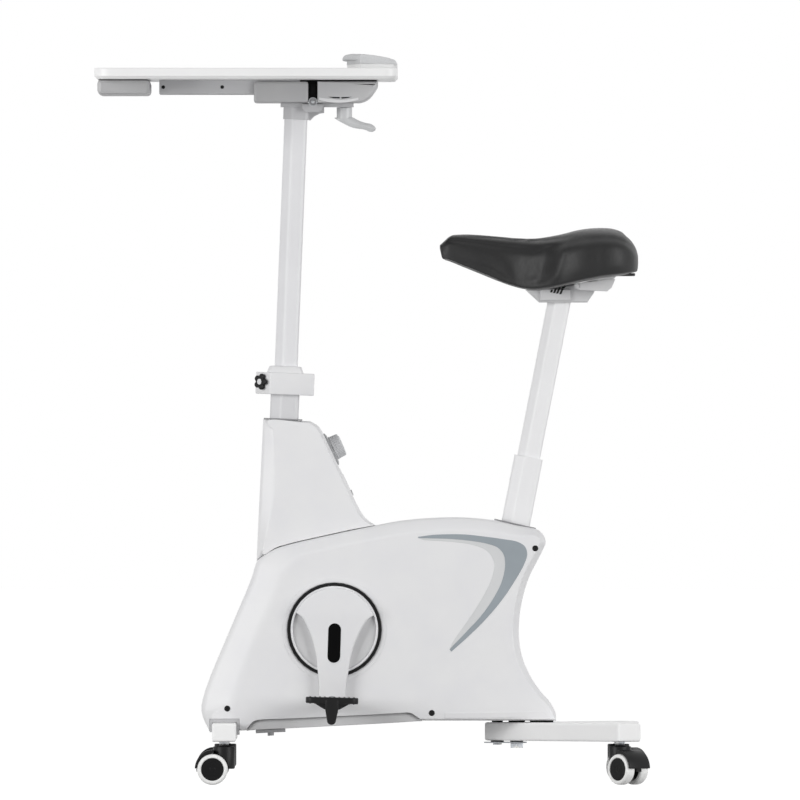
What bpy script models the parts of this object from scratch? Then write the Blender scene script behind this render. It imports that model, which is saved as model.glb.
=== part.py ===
"""Desk exercise bike: an upright cycle with a sliding desktop on a telescopic mast.

Metres, +Z up. X runs from the far edge of the desk to the saddle, so the rider
faces -X, and -Y is the rider's left. The origin is on the floor, under the middle
of the whole object. Every object below is one physical piece.
"""

import math

import bmesh
import bpy
import numpy as np
from mathutils import Vector

# Fits shared by many pieces
GAP = 0.0003
SLIDE_GAP = 0.0004
SEAM_GAP = 0.00015

# Desktop and the wrist rest along its rider side
DESK_FRONT = -0.4582
DESK_REAR = 0.0413
DESK_WIDTH = 0.640
DESK_BOTTOM = 1.1628
DESK_TOP = 1.1806
DESK_CORNER = 0.028
REST_WIDTH = 0.460
REST_BASE_TOP = 1.1880
REST_TOP = 1.2053

# Slide under the desktop: block round the rails, lever housing, front cover
BLOCK_FRONT = -0.1967
BLOCK_REAR = -0.1061
BLOCK_BOTTOM = 1.1254
BLOCK_TOP = 1.1602
BLOCK_HALF = 0.100
BLOCK_WALL = 0.003
HOUSING_FRONT = -0.0914
HOUSING_REAR = 0.0087
COVER_REAR = -0.3675
COVER_BOTTOM = 1.1382
RAIL_FRONT = -0.3526
RAIL_REAR = -0.1200
RAIL_BOTTOM = 1.1395
RAIL_OUTER = 0.092
RAIL_WIDTH = 0.020

# Mast: point on its axis, lean towards the rider, and the flat sided tubes
MAST_X = -0.1432
MAST_Z = 0.6905
MAST_LEAN = math.radians(2.256)
INNER_DEPTH = 0.038
INNER_WIDTH = 0.060
OUTER_DEPTH = 0.0475
OUTER_WIDTH = 0.070
TUBE_WALL = 0.0025
FACET = 0.013
COLLAR_HEIGHT = 0.035

# Seat post: top of its outer tube, and lean towards the back
SEAT_X = 0.2579
SEAT_Z = 0.5395
SEAT_LEAN = math.radians(11.1)
SEAT_TOP_S = 0.275
SEAT_OVERLAP = 0.120

# Base: spine, front crossbar and V shaped rear legs
BEAM_FRONT = -0.262
BEAM_REAR = 0.262
BEAM_HALF = 0.030
BEAM_BOTTOM = 0.1072
BEAM_TOP = 0.1472
CROSSBAR_X = -0.24495
CROSSBAR_DEPTH = 0.0397
CROSSBAR_LENGTH = 0.510
BAR_BOTTOM = 0.0708
BAR_TOP = 0.1010
BAR_WALL = 0.002
LEG_WIDTH = 0.050
LEG_ANGLE = math.radians(48.0)
LEG_VERTEX = 0.1853
LEG_REACH = 0.4241
LEG_STEM_INSET = 0.0245
FRONT_STEM_Y = 0.233

# Twin wheel castors
WHEEL_RADIUS = 0.0254
WHEEL_HALF = 0.0245
WHEEL_INNER = 0.0063
CASTOR_TRAIL = 0.0191
CASTOR_BODY = 0.018
CASTOR_TOP = 0.0633
REAR_CASTOR_YAW = math.radians(133.0)

# Body shells
SHELL_HALF = 0.072
SHELL_EDGE = 0.020
SHELL_WALL = 0.0025
NECK_HALF = 0.050
NECK_EDGE = 0.014
NECK_TAPER = 0.16
NECK_FOOT = 0.3671
NECK_HEIGHT = 0.2370

# Crank, pedals and drive
CRANK_X = -0.0634
CRANK_Z = 0.2544
CRANK_LEAN = math.radians(1.85)
CRANK_LENGTH = 0.1175
DISC_RADIUS = 0.0723
RING_RADIUS = 0.0780
AXLE_RADIUS = 0.0085
PULLEY_RADIUS = 0.068
PULLEY_INNER = 0.027
PULLEY_OUTER = 0.041
SMALL_PULLEY_RADIUS = 0.011
FLYWHEEL_X = 0.070
FLYWHEEL_Z = 0.265
FLYWHEEL_RADIUS = 0.100
PEDAL_INNER = 0.098
PEDAL_WIDTH = 0.095
PEDAL_LENGTH = 0.0868

# Resistance knob and display on the sloping face of the neck
KNOB_X = -0.0687
KNOB_Z = 0.5526
KNOB_TURN = math.radians(64.5)
KNOB_RADIUS = 0.0195
KNOB_PLATE_RADIUS = 0.0290
DISPLAY_X = -0.0410
DISPLAY_Z = 0.4935
DISPLAY_TURN = math.radians(65.3)

# Finishes: base colour, roughness, metallic
FINISHES = {
    "white_paint": ((0.80, 0.80, 0.80), 0.40, 0.0),
    "white_plastic": ((0.78, 0.78, 0.78), 0.45, 0.0),
    "grey_plastic": ((0.36, 0.36, 0.36), 0.50, 0.0),
    "dark_gasket": ((0.22, 0.22, 0.22), 0.60, 0.0),
    "black_plastic": ((0.02, 0.02, 0.02), 0.45, 0.0),
    "black_leather": ((0.025, 0.025, 0.025), 0.42, 0.0),
    "laminate": ((0.82, 0.82, 0.82), 0.35, 0.0),
    "soft_grey": ((0.45, 0.45, 0.45), 0.55, 0.0),
    "steel": ((0.55, 0.55, 0.56), 0.35, 1.0),
    "belt_rubber": ((0.03, 0.03, 0.03), 0.60, 0.0),
    "tyre_white": ((0.75, 0.75, 0.75), 0.50, 0.0),
}

QUARTER = math.pi / 2.0


def clear_scene():
    """Remove every object that the scene starts with."""
    for item in list(bpy.data.objects):
        bpy.data.objects.remove(item, do_unlink=True)


def new_collection(name):
    """Make a collection and link it to the scene."""
    group = bpy.data.collections.new(name)
    bpy.context.scene.collection.children.link(group)
    return group


def make_finishes():
    """Make one Principled material for each finish."""
    made = {}
    for name, (color, roughness, metallic) in FINISHES.items():
        look = bpy.data.materials.new(name)
        look.use_nodes = True
        shader = look.node_tree.nodes["Principled BSDF"]
        shader.inputs["Base Color"].default_value = (*color, 1.0)
        shader.inputs["Roughness"].default_value = roughness
        shader.inputs["Metallic"].default_value = metallic
        made[name] = look
    return made


clear_scene()
PARTS = new_collection("desk_exercise_bike")
CUTTERS = new_collection("cutters")
LOOKS = make_finishes()


def place_object(name, data, look, place, turn, parent):
    """Link new mesh data as a part, or as a cutter where it has no finish."""
    item = bpy.data.objects.new(name, data)
    item.location = place
    item.rotation_euler = turn
    item.parent = parent
    if look is None:
        CUTTERS.objects.link(item)
        item.hide_render = True
        item.display_type = "WIRE"
        return item
    PARTS.objects.link(item)
    data.materials.append(LOOKS[look])
    data.shade_smooth()
    data.set_sharp_from_angle(angle=math.radians(32))
    return item


def mesh_from(builder, name):
    """Turn a filled bmesh into mesh data."""
    data = bpy.data.meshes.new(name)
    builder.to_mesh(data)
    builder.free()
    return data


def box(name, size, place, look=None, turn=(0, 0, 0), parent=None, rounding=0.0, segments=2):
    """Make a block of the given size round its place, its edges rounded where asked."""
    builder = bmesh.new()
    bmesh.ops.create_cube(builder, size=1.0)
    bmesh.ops.scale(builder, vec=Vector(size), verts=builder.verts)
    item = place_object(name, mesh_from(builder, name), look, place, turn, parent)
    if rounding > 0.0:
        round_edges(item, rounding, segments)
    return item


def block(name, low, high, look=None, **options):
    """Make a block from its lowest and highest corners."""
    size = [top - bottom for bottom, top in zip(low, high)]
    place = [(top + bottom) / 2.0 for bottom, top in zip(low, high)]
    return box(name, size, place, look, **options)


def cylinder(name, radius, depth, place, look=None, turn=(0, 0, 0), parent=None, top=None,
             segments=20):
    """Make a cylinder or cone along its own Z, centred on its place."""
    builder = bmesh.new()
    bmesh.ops.create_cone(
        builder, cap_ends=True, segments=segments, radius1=radius,
        radius2=radius if top is None else top, depth=depth)
    return place_object(name, mesh_from(builder, name), look, place, turn, parent)


def round_edges(item, width, segments=2, angle=50.0):
    """Round the edges of an object that are sharper than an angle in degrees."""
    modifier = item.modifiers.new("rounding", "BEVEL")
    modifier.width = width
    modifier.segments = segments
    modifier.limit_method = "ANGLE"
    modifier.angle_limit = math.radians(angle)


def cut(target, *tools):
    """Take each tool away from the target."""
    for tool in tools:
        modifier = target.modifiers.new("cut " + tool.name, "BOOLEAN")
        modifier.operation = "DIFFERENCE"
        modifier.object = tool


def weld(target, *tools):
    """Join each tool to the target as one body."""
    for tool in tools:
        modifier = target.modifiers.new("weld " + tool.name, "BOOLEAN")
        modifier.operation = "UNION"
        modifier.object = tool


def prism(name, outlines, thickness, place, look=None, turn=(0, 0, 0), parent=None):
    """Extrude flat outlines along their own Z; outlines inside the first are holes."""
    data = bpy.data.curves.new(name, "CURVE")
    data.dimensions = "2D"
    data.fill_mode = "BOTH"
    data.extrude = thickness / 2.0
    for outline in outlines:
        spline = data.splines.new("POLY")
        spline.points.add(len(outline) - 1)
        for point, (x, y) in zip(spline.points, outline):
            point.co = (x, y, 0.0, 1.0)
        spline.use_cyclic_u = True
    drawn = bpy.data.objects.new(name + " outline", data)
    CUTTERS.objects.link(drawn)
    graph = bpy.context.evaluated_depsgraph_get()
    mesh = bpy.data.meshes.new_from_object(drawn.evaluated_get(graph))
    mesh.name = name
    bpy.data.objects.remove(drawn, do_unlink=True)
    builder = bmesh.new()
    builder.from_mesh(mesh)
    bmesh.ops.remove_doubles(builder, verts=builder.verts, dist=0.000002)
    bmesh.ops.recalc_face_normals(builder, faces=builder.faces)
    builder.to_mesh(mesh)
    builder.free()
    mesh.materials.clear()
    return place_object(name, mesh, look, place, turn, parent)


def side_prism(name, outlines, low, high, look=None, parent=None):
    """Extrude outlines drawn in X and Z from one Y to another."""
    middle = (low + high) / 2.0
    return prism(name, outlines, high - low, (0, middle, 0), look, (QUARTER, 0, 0), parent)


def turned(name, profile, look=None, place=(0, 0, 0), turn=(0, 0, 0), parent=None, steps=32,
           ring=False):
    """Spin a profile of radius and height, top to bottom on its outer side, round Z."""
    data = bpy.data.meshes.new(name)
    points = [(radius, 0.0, height) for radius, height in profile]
    edges = [(index, index + 1) for index in range(len(points) - 1)]
    if ring:
        edges.append((len(points) - 1, 0))
    data.from_pydata(points, edges, [])
    item = place_object(name, data, look, place, turn, parent)
    screw = item.modifiers.new("spin", "SCREW")
    screw.angle = 2.0 * math.pi
    screw.steps = steps
    screw.render_steps = steps
    screw.use_merge_vertices = True
    screw.merge_threshold = 0.00005
    return item


def rounded(corners, radii, steps=4):
    """Round each corner of a closed outline with an arc of its own radius."""
    result = []
    count = len(corners)
    for index, radius in enumerate(radii):
        corner = np.array(corners[index], dtype=float)
        before = np.array(corners[index - 1], dtype=float) - corner
        after = np.array(corners[(index + 1) % count], dtype=float) - corner
        before /= np.linalg.norm(before)
        after /= np.linalg.norm(after)
        if radius <= 0.0:
            result.append(tuple(corner))
            continue
        half_angle = math.acos(float(np.clip(before @ after, -1.0, 1.0))) / 2.0
        reach = radius / math.tan(half_angle)
        bisector = (before + after) / np.linalg.norm(before + after)
        centre = corner + bisector * radius / math.sin(half_angle)
        start = corner + before * reach - centre
        end = corner + after * reach - centre
        sweep = math.atan2(start[0] * end[1] - start[1] * end[0], float(start @ end))
        for step in range(steps + 1):
            angle = sweep * step / steps
            turn_x = start[0] * math.cos(angle) - start[1] * math.sin(angle)
            turn_y = start[0] * math.sin(angle) + start[1] * math.cos(angle)
            result.append((centre[0] + turn_x, centre[1] + turn_y))
    return result


def arc(centre, radius, start, end, steps):
    """Points on an arc between two angles in degrees, both ends included."""
    angles = np.radians(np.linspace(start, end, steps + 1))
    return [(centre[0] + radius * math.cos(a), centre[1] + radius * math.sin(a)) for a in angles]


def smooth(controls, steps):
    """Centripetal Catmull-Rom curve through the control rows, its last row left out."""
    rows = np.array(controls, dtype=float)
    rows = np.vstack([2 * rows[0] - rows[1], rows, 2 * rows[-1] - rows[-2]])
    result = []
    for index in range(1, len(rows) - 2):
        p0, p1, p2, p3 = rows[index - 1:index + 3]
        t1 = math.sqrt(np.linalg.norm(p1 - p0))
        t2 = t1 + math.sqrt(np.linalg.norm(p2 - p1))
        t3 = t2 + math.sqrt(np.linalg.norm(p3 - p2))
        for step in range(steps):
            t = t1 + (t2 - t1) * step / steps
            a1 = p0 * (t1 - t) / t1 + p1 * t / t1
            a2 = p1 * (t2 - t) / (t2 - t1) + p2 * (t - t1) / (t2 - t1)
            a3 = p2 * (t3 - t) / (t3 - t2) + p3 * (t - t2) / (t3 - t2)
            b1 = a1 * (t2 - t) / t2 + a2 * t / t2
            b2 = a2 * (t3 - t) / (t3 - t1) + a3 * (t - t1) / (t3 - t1)
            result.append(b1 * (t2 - t) / (t2 - t1) + b2 * (t - t1) / (t2 - t1))
    return result


def empty(name, place, turn=(0, 0, 0), parent=None):
    """A frame that pieces are placed in: it marks a joint's axis or a tube's line."""
    item = bpy.data.objects.new(name, None)
    item.location = place
    item.rotation_euler = turn
    item.parent = parent
    PARTS.objects.link(item)
    return item


def tube_section(depth, width):
    """Outline of the flat sided tube: a rounded back, flat sides and two facets in front."""
    half = width / 2.0
    corners = [
        (depth / 2, -half), (depth / 2, half), (-0.12 * depth, half),
        (-depth / 2, half - FACET), (-depth / 2, -half + FACET), (-0.12 * depth, -half)]
    return rounded(corners, [0.006, 0.006, 0.010, 0.006, 0.006, 0.010], steps=2)


def tube(name, depth, width, bore_depth, bore_width, low, high, look, parent):
    """A hollow length of the flat sided tube between two heights of its frame."""
    outlines = [tube_section(depth, width), tube_section(bore_depth, bore_width)]
    place = (0, 0, (low + high) / 2.0)
    return prism(name, outlines, high - low, place, look, parent=parent)


def make_base():
    """Spine, front channel and crossbar, V legs with their bolts, and the belly plate."""
    beam = block(
        "base_beam", (BEAM_FRONT, -BEAM_HALF, BEAM_BOTTOM), (BEAM_REAR, BEAM_HALF, BEAM_TOP),
        "white_paint", rounding=0.004)
    bore = block(
        "beam_bore", (BEAM_FRONT - 0.01, -BEAM_HALF + TUBE_WALL, BEAM_BOTTOM + TUBE_WALL),
        (BEAM_REAR + 0.01, BEAM_HALF - TUBE_WALL, BEAM_TOP - TUBE_WALL))
    cut(beam, bore)

    outer = CROSSBAR_DEPTH / 2 + GAP + 0.0042
    inner = CROSSBAR_DEPTH / 2 + GAP
    roof = BAR_TOP + GAP
    top = BEAM_BOTTOM - GAP
    profile = [
        (CROSSBAR_X - outer, 0.0850), (CROSSBAR_X - outer, top), (CROSSBAR_X + outer, top),
        (CROSSBAR_X + outer, 0.0807), (CROSSBAR_X + inner, 0.0807), (CROSSBAR_X + inner, roof),
        (CROSSBAR_X - inner, roof), (CROSSBAR_X - inner, 0.0850)]
    side_prism("front_channel", [profile], -SHELL_HALF, SHELL_HALF, "grey_plastic")

    stems = []
    for side in (-1, 1):
        stems.append(cylinder(
            f"front_stem_hole_{side}", 0.0057, 0.030, (CROSSBAR_X, side * FRONT_STEM_Y, BAR_BOTTOM),
            segments=12))
    half = CROSSBAR_LENGTH / 2
    crossbar = block(
        "front_crossbar", (CROSSBAR_X - CROSSBAR_DEPTH / 2, -half, BAR_BOTTOM),
        (CROSSBAR_X + CROSSBAR_DEPTH / 2, half, BAR_TOP), "white_paint", rounding=0.003)
    hollow = block(
        "crossbar_hollow",
        (CROSSBAR_X - CROSSBAR_DEPTH / 2 + BAR_WALL, -half + BAR_WALL, BAR_BOTTOM + BAR_WALL),
        (CROSSBAR_X + CROSSBAR_DEPTH / 2 - BAR_WALL, half - BAR_WALL, BAR_TOP - BAR_WALL))
    cut(crossbar, hollow, *stems)


def leg_line():
    """Start, direction and length of a rear leg's centre line, for the +Y side."""
    start_x = LEG_VERTEX + LEG_WIDTH / 2 / math.sin(LEG_ANGLE)
    length = (LEG_REACH - start_x) / math.cos(LEG_ANGLE)
    return start_x, length


def rear_stem_place(side):
    """X and Y of a rear castor's stem."""
    start_x, length = leg_line()
    reach = length - LEG_STEM_INSET
    return start_x + reach * math.cos(LEG_ANGLE), side * reach * math.sin(LEG_ANGLE)


def make_legs():
    """Two hollow legs mitred together under the spine, and the bolts that hold them."""
    bolts = ((0.2060, 0.0088, 0.0082, 0.0637), (0.2381, 0.0132, 0.0119, 0.0586))
    holes = [
        cylinder(f"leg_bolt_hole_{index}", 0.0056, 0.050, (x, 0, 0.086), segments=12)
        for index, (x, _, _, _) in enumerate(bolts)]
    start_x, length = leg_line()
    root = 0.045
    middle = (BAR_BOTTOM + BAR_TOP) / 2
    height = BAR_TOP - BAR_BOTTOM
    for side, name in ((-1, "rear_leg_left"), (1, "rear_leg_right")):
        turn = (0, 0, side * LEG_ANGLE)
        reach = (length - root) / 2
        place = (start_x + reach * math.cos(LEG_ANGLE), side * reach * math.sin(LEG_ANGLE), middle)
        leg = box(
            name, (length + root, LEG_WIDTH, height), place, "white_paint", turn=turn,
            rounding=0.003)
        inner = reach - BAR_WALL
        inner_place = (
            start_x + inner * math.cos(LEG_ANGLE), side * inner * math.sin(LEG_ANGLE), middle)
        bore = box(
            name + "_bore", (length + root, LEG_WIDTH - 2 * BAR_WALL, height - 2 * BAR_WALL),
            inner_place, turn=turn)
        mitre = box(
            name + "_mitre", (0.3, 0.2, 0.1), (0.2, -side * (0.1 - SEAM_GAP), middle))
        stem_x, stem_y = rear_stem_place(side)
        stem = cylinder(
            name + "_stem_hole", 0.0057, 0.030, (stem_x, stem_y, BAR_BOTTOM), segments=12)
        cut(leg, bore, mitre, stem, *holes)

    plate = block("leg_bolts", (0.1840, -0.022, 0.0667), (0.2546, 0.022, 0.0686), "steel")
    for index, (x, spacer, head, low) in enumerate(bolts):
        shaft = cylinder(f"leg_bolt_shaft_{index}", 0.005, 0.040, (x, 0, 0.0865), segments=12)
        top = BEAM_BOTTOM - GAP
        collar = cylinder(
            f"leg_bolt_spacer_{index}", spacer, top - BAR_TOP - GAP, (x, 0, (top + BAR_TOP + GAP) / 2),
            segments=16)
        washer = cylinder(
            f"leg_bolt_washer_{index}", 0.0105, 0.0026, (x, 0, 0.0692), segments=16)
        nut = cylinder(
            f"leg_bolt_head_{index}", head, 0.0672 - low, (x, 0, (0.0672 + low) / 2), segments=6)
        weld(plate, shaft, collar, washer, nut)


def make_belly_plate():
    """Plate under the shells at the foot of the mast, on the bolt that goes up to the spine."""
    slope = math.radians(-2.86)
    frame = empty("belly_frame", (-0.1692, 0, 0.0895), (0, slope, 0))
    plate = block(
        "belly_plate", (-0.0245, -0.025, -0.0055), (0.0245, 0.025, -0.0005), "white_paint",
        parent=frame)
    shaft = cylinder("belly_bolt_shaft", 0.005, 0.0205, (-0.1692, 0, 0.0964))
    head = cylinder("belly_bolt_head", 0.0052, 0.006, (0, 0, -0.0078), parent=frame, segments=16)
    weld(plate, shaft, head)


def make_mast():
    """Telescopic mast with its collar and clamp knob; returns the frames that pieces sit in."""
    frame = empty("mast_frame", (MAST_X, 0, MAST_Z), (0, MAST_LEAN, 0))
    lift = math.cos(MAST_LEAN)
    collar_mid = (0.6627 - MAST_Z) / lift
    top = collar_mid + COLLAR_HEIGHT / 2
    foot = (BEAM_TOP - MAST_Z) / lift
    outer = tube(
        "mast_outer_tube", OUTER_DEPTH, OUTER_WIDTH, INNER_DEPTH + 2 * SLIDE_GAP,
        INNER_WIDTH + 2 * SLIDE_GAP, foot - 0.01, top - 0.0008, "white_paint", frame)
    floor = block("mast_foot_cut", (-0.30, -0.1, 0.10), (0.0, 0.1, BEAM_TOP + GAP))
    cut(outer, floor)

    outline = rounded(
        [(0.0475, -0.044), (0.0475, 0.044), (-0.025, 0.044), (-0.0492, 0.0200),
         (-0.0492, -0.0200), (-0.025, -0.044)], [0.006, 0.006, 0.005, 0.005, 0.005, 0.005], 3)
    bore = tube_section(OUTER_DEPTH + 2 * GAP, OUTER_WIDTH + 2 * GAP)
    collar = prism(
        "mast_collar", [outline, bore], COLLAR_HEIGHT, (0, 0, collar_mid), "white_plastic",
        parent=frame)
    inner = tube_section(INNER_DEPTH + 2 * SLIDE_GAP, INNER_WIDTH + 2 * SLIDE_GAP)
    lip = prism(
        "collar_lip", [tube_section(0.0545, 0.078), inner], 0.0100, (0, 0, top + 0.0045),
        parent=frame)
    weld(collar, lip)

    knob_turn = (0, -QUARTER, math.radians(45))
    facet_x, facet_y = -0.0381, -0.0310
    knob_frame = empty("collar_knob_axis", (facet_x, facet_y, collar_mid), knob_turn, frame)
    angles = np.linspace(0, 2 * math.pi, 36, endpoint=False)
    lobes = [
        ((0.0122 + 0.0013 * math.cos(6 * a)) * math.cos(a),
         (0.0122 + 0.0013 * math.cos(6 * a)) * math.sin(a)) for a in angles]
    knob = prism(
        "collar_knob", [lobes], 0.0070, (0, 0, 0.0045), "black_plastic", parent=knob_frame)
    stud = cylinder("collar_stud", 0.003, 0.0095, (0, 0, -0.0005), parent=knob_frame, segments=16)
    stud_hole = cylinder(
        "collar_stud_hole", 0.0033, 0.012, (0, 0, -0.0010), parent=knob_frame, segments=16)
    weld(knob, stud)
    cut(collar, stud_hole)

    overlap = 0.130
    head = (1.1165 - MAST_Z) / lift
    tube("mast_inner_tube", INNER_DEPTH, INNER_WIDTH, INNER_DEPTH - 2 * TUBE_WALL,
         INNER_WIDTH - 2 * TUBE_WALL, -overlap, head, "white_paint", frame)
    return frame


def make_post_head(mast_frame):
    """Head of the mast: sleeve, flange with the lever's arm, gusset and the two bolt lugs."""
    flange_low, flange_top = 1.1185, BLOCK_BOTTOM - GAP
    head = block(
        "post_head", (-0.1525, -0.036, flange_low), (-0.0317, 0.036, flange_top), "white_paint")
    lift = math.cos(MAST_LEAN)
    low = (1.0980 - MAST_Z) / lift
    top = (1.1200 - MAST_Z) / lift
    sleeve = prism(
        "head_sleeve",
        [tube_section(0.0425, 0.0655), tube_section(INNER_DEPTH + 2 * GAP, INNER_WIDTH + 2 * GAP)],
        top - low, (0, 0, (low + top) / 2), parent=mast_frame)
    gusset_points = [(-0.1063, 1.1195), (-0.1063, 1.0970), (-0.1031, 1.0964), (-0.0972, 1.1030),
                     (-0.0884, 1.1075), (-0.0804, 1.1090), (-0.0804, 1.1195)]
    gusset = side_prism("head_gusset", [gusset_points], -0.015, 0.015)
    weld(head, sleeve, gusset)
    spindle_hole = cylinder("lever_spindle_hole", 0.0044, 0.020, (-0.047, 0, 1.121), segments=16)
    lug_points = rounded(
        [(-0.1167, 1.1240), (-0.1167, 1.1105), (-0.0825, 1.1105), (-0.0825, 1.1240),
         (-0.0920, 1.1240), (-0.0920, 1.1325), (-0.1055, 1.1325), (-0.1055, 1.1240)],
        [0, 0.009, 0.009, 0, 0, 0.004, 0.004, 0], 2)
    for side in (-1, 1):
        low_y, high_y = sorted((side * 0.034, side * 0.042))
        weld(head, side_prism(f"head_lug_{side}", [lug_points], low_y, high_y))
    bolt_hole = cylinder(
        "pivot_bolt_hole", 0.0053, 0.12, (-0.0988, 0, 1.1262), turn=(QUARTER, 0, 0), segments=16)
    cut(head, spindle_hole, bolt_hole)

    profile = [
        (0, 0.097), (0.0066, 0.097), (0.0066, 0.092), (0.0050, 0.092), (0.0050, -0.092),
        (0.0066, -0.092), (0.0066, -0.097), (0, -0.097)]
    turned("pivot_bolt", profile, "steel", (-0.0988, 0, 1.1262), (QUARTER, 0, 0), steps=16)

    hub = cylinder(
        "slide_lever", 0.0128, 0.0185, (-0.047, 0, 1.10895), "grey_plastic", segments=18)
    spindle = cylinder("lever_spindle", 0.004, 0.0100, (-0.047, 0, 1.1192), segments=16)
    paddle_points = smooth(
        [(-0.0634, 1.1006), (-0.0348, 1.1017), (-0.0238, 1.0964), (-0.0134, 1.0926),
         (-0.0028, 1.0903), (0.0056, 1.0827), (-0.0017, 1.0771), (-0.0134, 1.0811),
         (-0.0333, 1.0842), (-0.0470, 1.0907), (-0.0586, 1.0969), (-0.0634, 1.1006)], 2)
    paddle = side_prism("lever_paddle", [paddle_points], -0.011, 0.011)
    round_edges(paddle, 0.003, 1)
    weld(hub, spindle, paddle)


def make_slide():
    """Block and lever housing on the mast's head, and the rails and cover under the desktop."""
    carriage = block(
        "slide_carriage", (BLOCK_FRONT, -BLOCK_HALF, BLOCK_BOTTOM),
        (BLOCK_REAR, BLOCK_HALF, BLOCK_TOP), "grey_plastic", rounding=0.004)
    inside = BLOCK_HALF - BLOCK_WALL
    hollow = block(
        "carriage_hollow", (BLOCK_FRONT - 0.01, -inside, BLOCK_BOTTOM + BLOCK_WALL),
        (BLOCK_REAR + 0.01, inside, BLOCK_TOP + 0.01))
    cut(carriage, hollow)
    pedestal = block(
        "carriage_pedestal", (BLOCK_FRONT + 0.008, -0.045, BLOCK_BOTTOM + 0.001),
        (BLOCK_REAR - 0.008, 0.045, 1.1480))
    tongue_half = RAIL_OUTER - 0.007
    tongue = block(
        "carriage_tongue", (BLOCK_FRONT + 0.010, -tongue_half, 1.1466),
        (BLOCK_REAR - 0.010, tongue_half, 1.1554))
    weld(carriage, pedestal, tongue)

    for side, name in ((-1, "rail_left"), (1, "rail_right")):
        low_y, high_y = sorted((side * (RAIL_OUTER - RAIL_WIDTH), side * RAIL_OUTER))
        rail = block(
            name, (RAIL_FRONT, low_y, RAIL_BOTTOM), (RAIL_REAR, high_y, DESK_BOTTOM - GAP), "steel")
        low_y, high_y = sorted((side * (RAIL_OUTER - RAIL_WIDTH - 0.005), side * (RAIL_OUTER - 0.006)))
        slot = block(
            name + "_slot", (RAIL_FRONT - 0.01, low_y, 1.1460), (RAIL_REAR + 0.01, high_y, 1.1560))
        cut(rail, slot)

    low = BLOCK_BOTTOM
    outline = rounded(
        [(HOUSING_FRONT, BLOCK_TOP), (HOUSING_FRONT, low), (-0.0220, low),
         (-0.0050, 1.1330), (HOUSING_REAR, 1.1520), (HOUSING_REAR, BLOCK_TOP)],
        [0, 0.002, 0.030, 0.020, 0.006, 0], 4)
    housing = side_prism("lever_housing", [outline], -BLOCK_HALF, BLOCK_HALF, "grey_plastic")
    wall = BLOCK_WALL
    inner = rounded(
        [(HOUSING_FRONT - 0.01, BLOCK_TOP + 0.01), (HOUSING_FRONT - 0.01, low + wall),
         (-0.0230, low + wall), (-0.0070, 1.1352), (HOUSING_REAR - wall, 1.1528),
         (HOUSING_REAR - wall, BLOCK_TOP + 0.01)], [0, 0, 0.028, 0.018, 0.005, 0], 4)
    cut(housing, side_prism("housing_hollow", [inner], -inside, inside))

    cover = block(
        "desk_front_cover", (-0.4541, -0.200, COVER_BOTTOM), (COVER_REAR, 0.200, DESK_BOTTOM - GAP),
        "grey_plastic", rounding=0.006)
    cover_hollow = block(
        "cover_hollow", (-0.4511, -0.197, COVER_BOTTOM + wall), (COVER_REAR - wall, 0.197, 1.18))
    cut(cover, cover_hollow)


def make_desktop():
    """Desktop board, and the wrist rest's base and pad along its rider edge."""
    half = DESK_WIDTH / 2
    outline = rounded(
        [(DESK_FRONT, -half), (DESK_REAR, -half), (DESK_REAR, half), (DESK_FRONT, half)],
        [DESK_CORNER, 0.020, 0.020, DESK_CORNER], 5)
    thickness = DESK_TOP - DESK_BOTTOM
    desk = prism(
        "desktop", [outline], thickness, (0, 0, (DESK_TOP + DESK_BOTTOM) / 2), "laminate")
    round_edges(desk, 0.0030, 2)

    base = prism(
        "wrist_rest_base", [rest_outline(0.0)], REST_BASE_TOP - DESK_TOP - GAP,
        (0, 0, (REST_BASE_TOP + DESK_TOP + GAP) / 2), "laminate")
    round_edges(base, 0.0015, 1)
    make_rest_pad()


def rest_outline(inset):
    """Plan of the wrist rest: straight along the desk's edge, bowed on the side of the desk."""
    half = REST_WIDTH / 2 - inset
    rear = DESK_REAR - 0.0008 - inset
    bow = smooth(
        [(-0.0200 + inset, -half + 0.012), (-0.0330 + inset, -half * 0.62),
         (-0.0425 + inset, -half * 0.25), (-0.0425 + inset, half * 0.25),
         (-0.0330 + inset, half * 0.62), (-0.0200 + inset, half - 0.012)], 3)
    end = (-0.0200 + inset, half - 0.012)
    corners = [
        (-0.0140 + inset, half - 0.003), (-0.0040 + inset, half), (rear - 0.012, half),
        (rear - 0.003, half - 0.004), (rear, half - 0.014)]
    mirrored = [(x, -y) for x, y in reversed(corners)]
    return [tuple(p) for p in bow] + [end] + corners + mirrored


def make_rest_pad():
    """Crowned pad: a row of X and Z sections along Y, full in the middle, drawn in at the ends."""
    stations = 17
    half = REST_WIDTH / 2 - 0.004
    profile = np.array([
        (0.00, 0.00), (0.00, 0.28), (0.02, 0.62), (0.07, 0.92), (0.20, 1.00), (0.45, 0.94),
        (0.68, 0.82), (0.86, 0.68), (0.95, 0.52), (1.00, 0.30), (1.00, 0.00)])
    ways = np.sin(np.linspace(-QUARTER, QUARTER, stations))
    low = REST_BASE_TOP + GAP
    rings = []
    for way in ways:
        bulge = (1.0 - abs(way) ** 6) ** 0.5
        front = -0.0505 + 0.0300 * abs(way) ** 2.0
        rear = DESK_REAR - 0.0030
        middle = (front + rear) / 2
        spread = (rear - front) / 2 * (0.55 + 0.45 * bulge)
        height = (REST_TOP - low) * (0.35 + 0.65 * bulge)
        x = middle + (profile[:, 0] * 2 - 1) * spread
        z = low + profile[:, 1] * height
        rings.append(np.column_stack([x, np.full(len(x), way * half), z]))
    loft("wrist_rest_pad", rings, "soft_grey")


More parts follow.
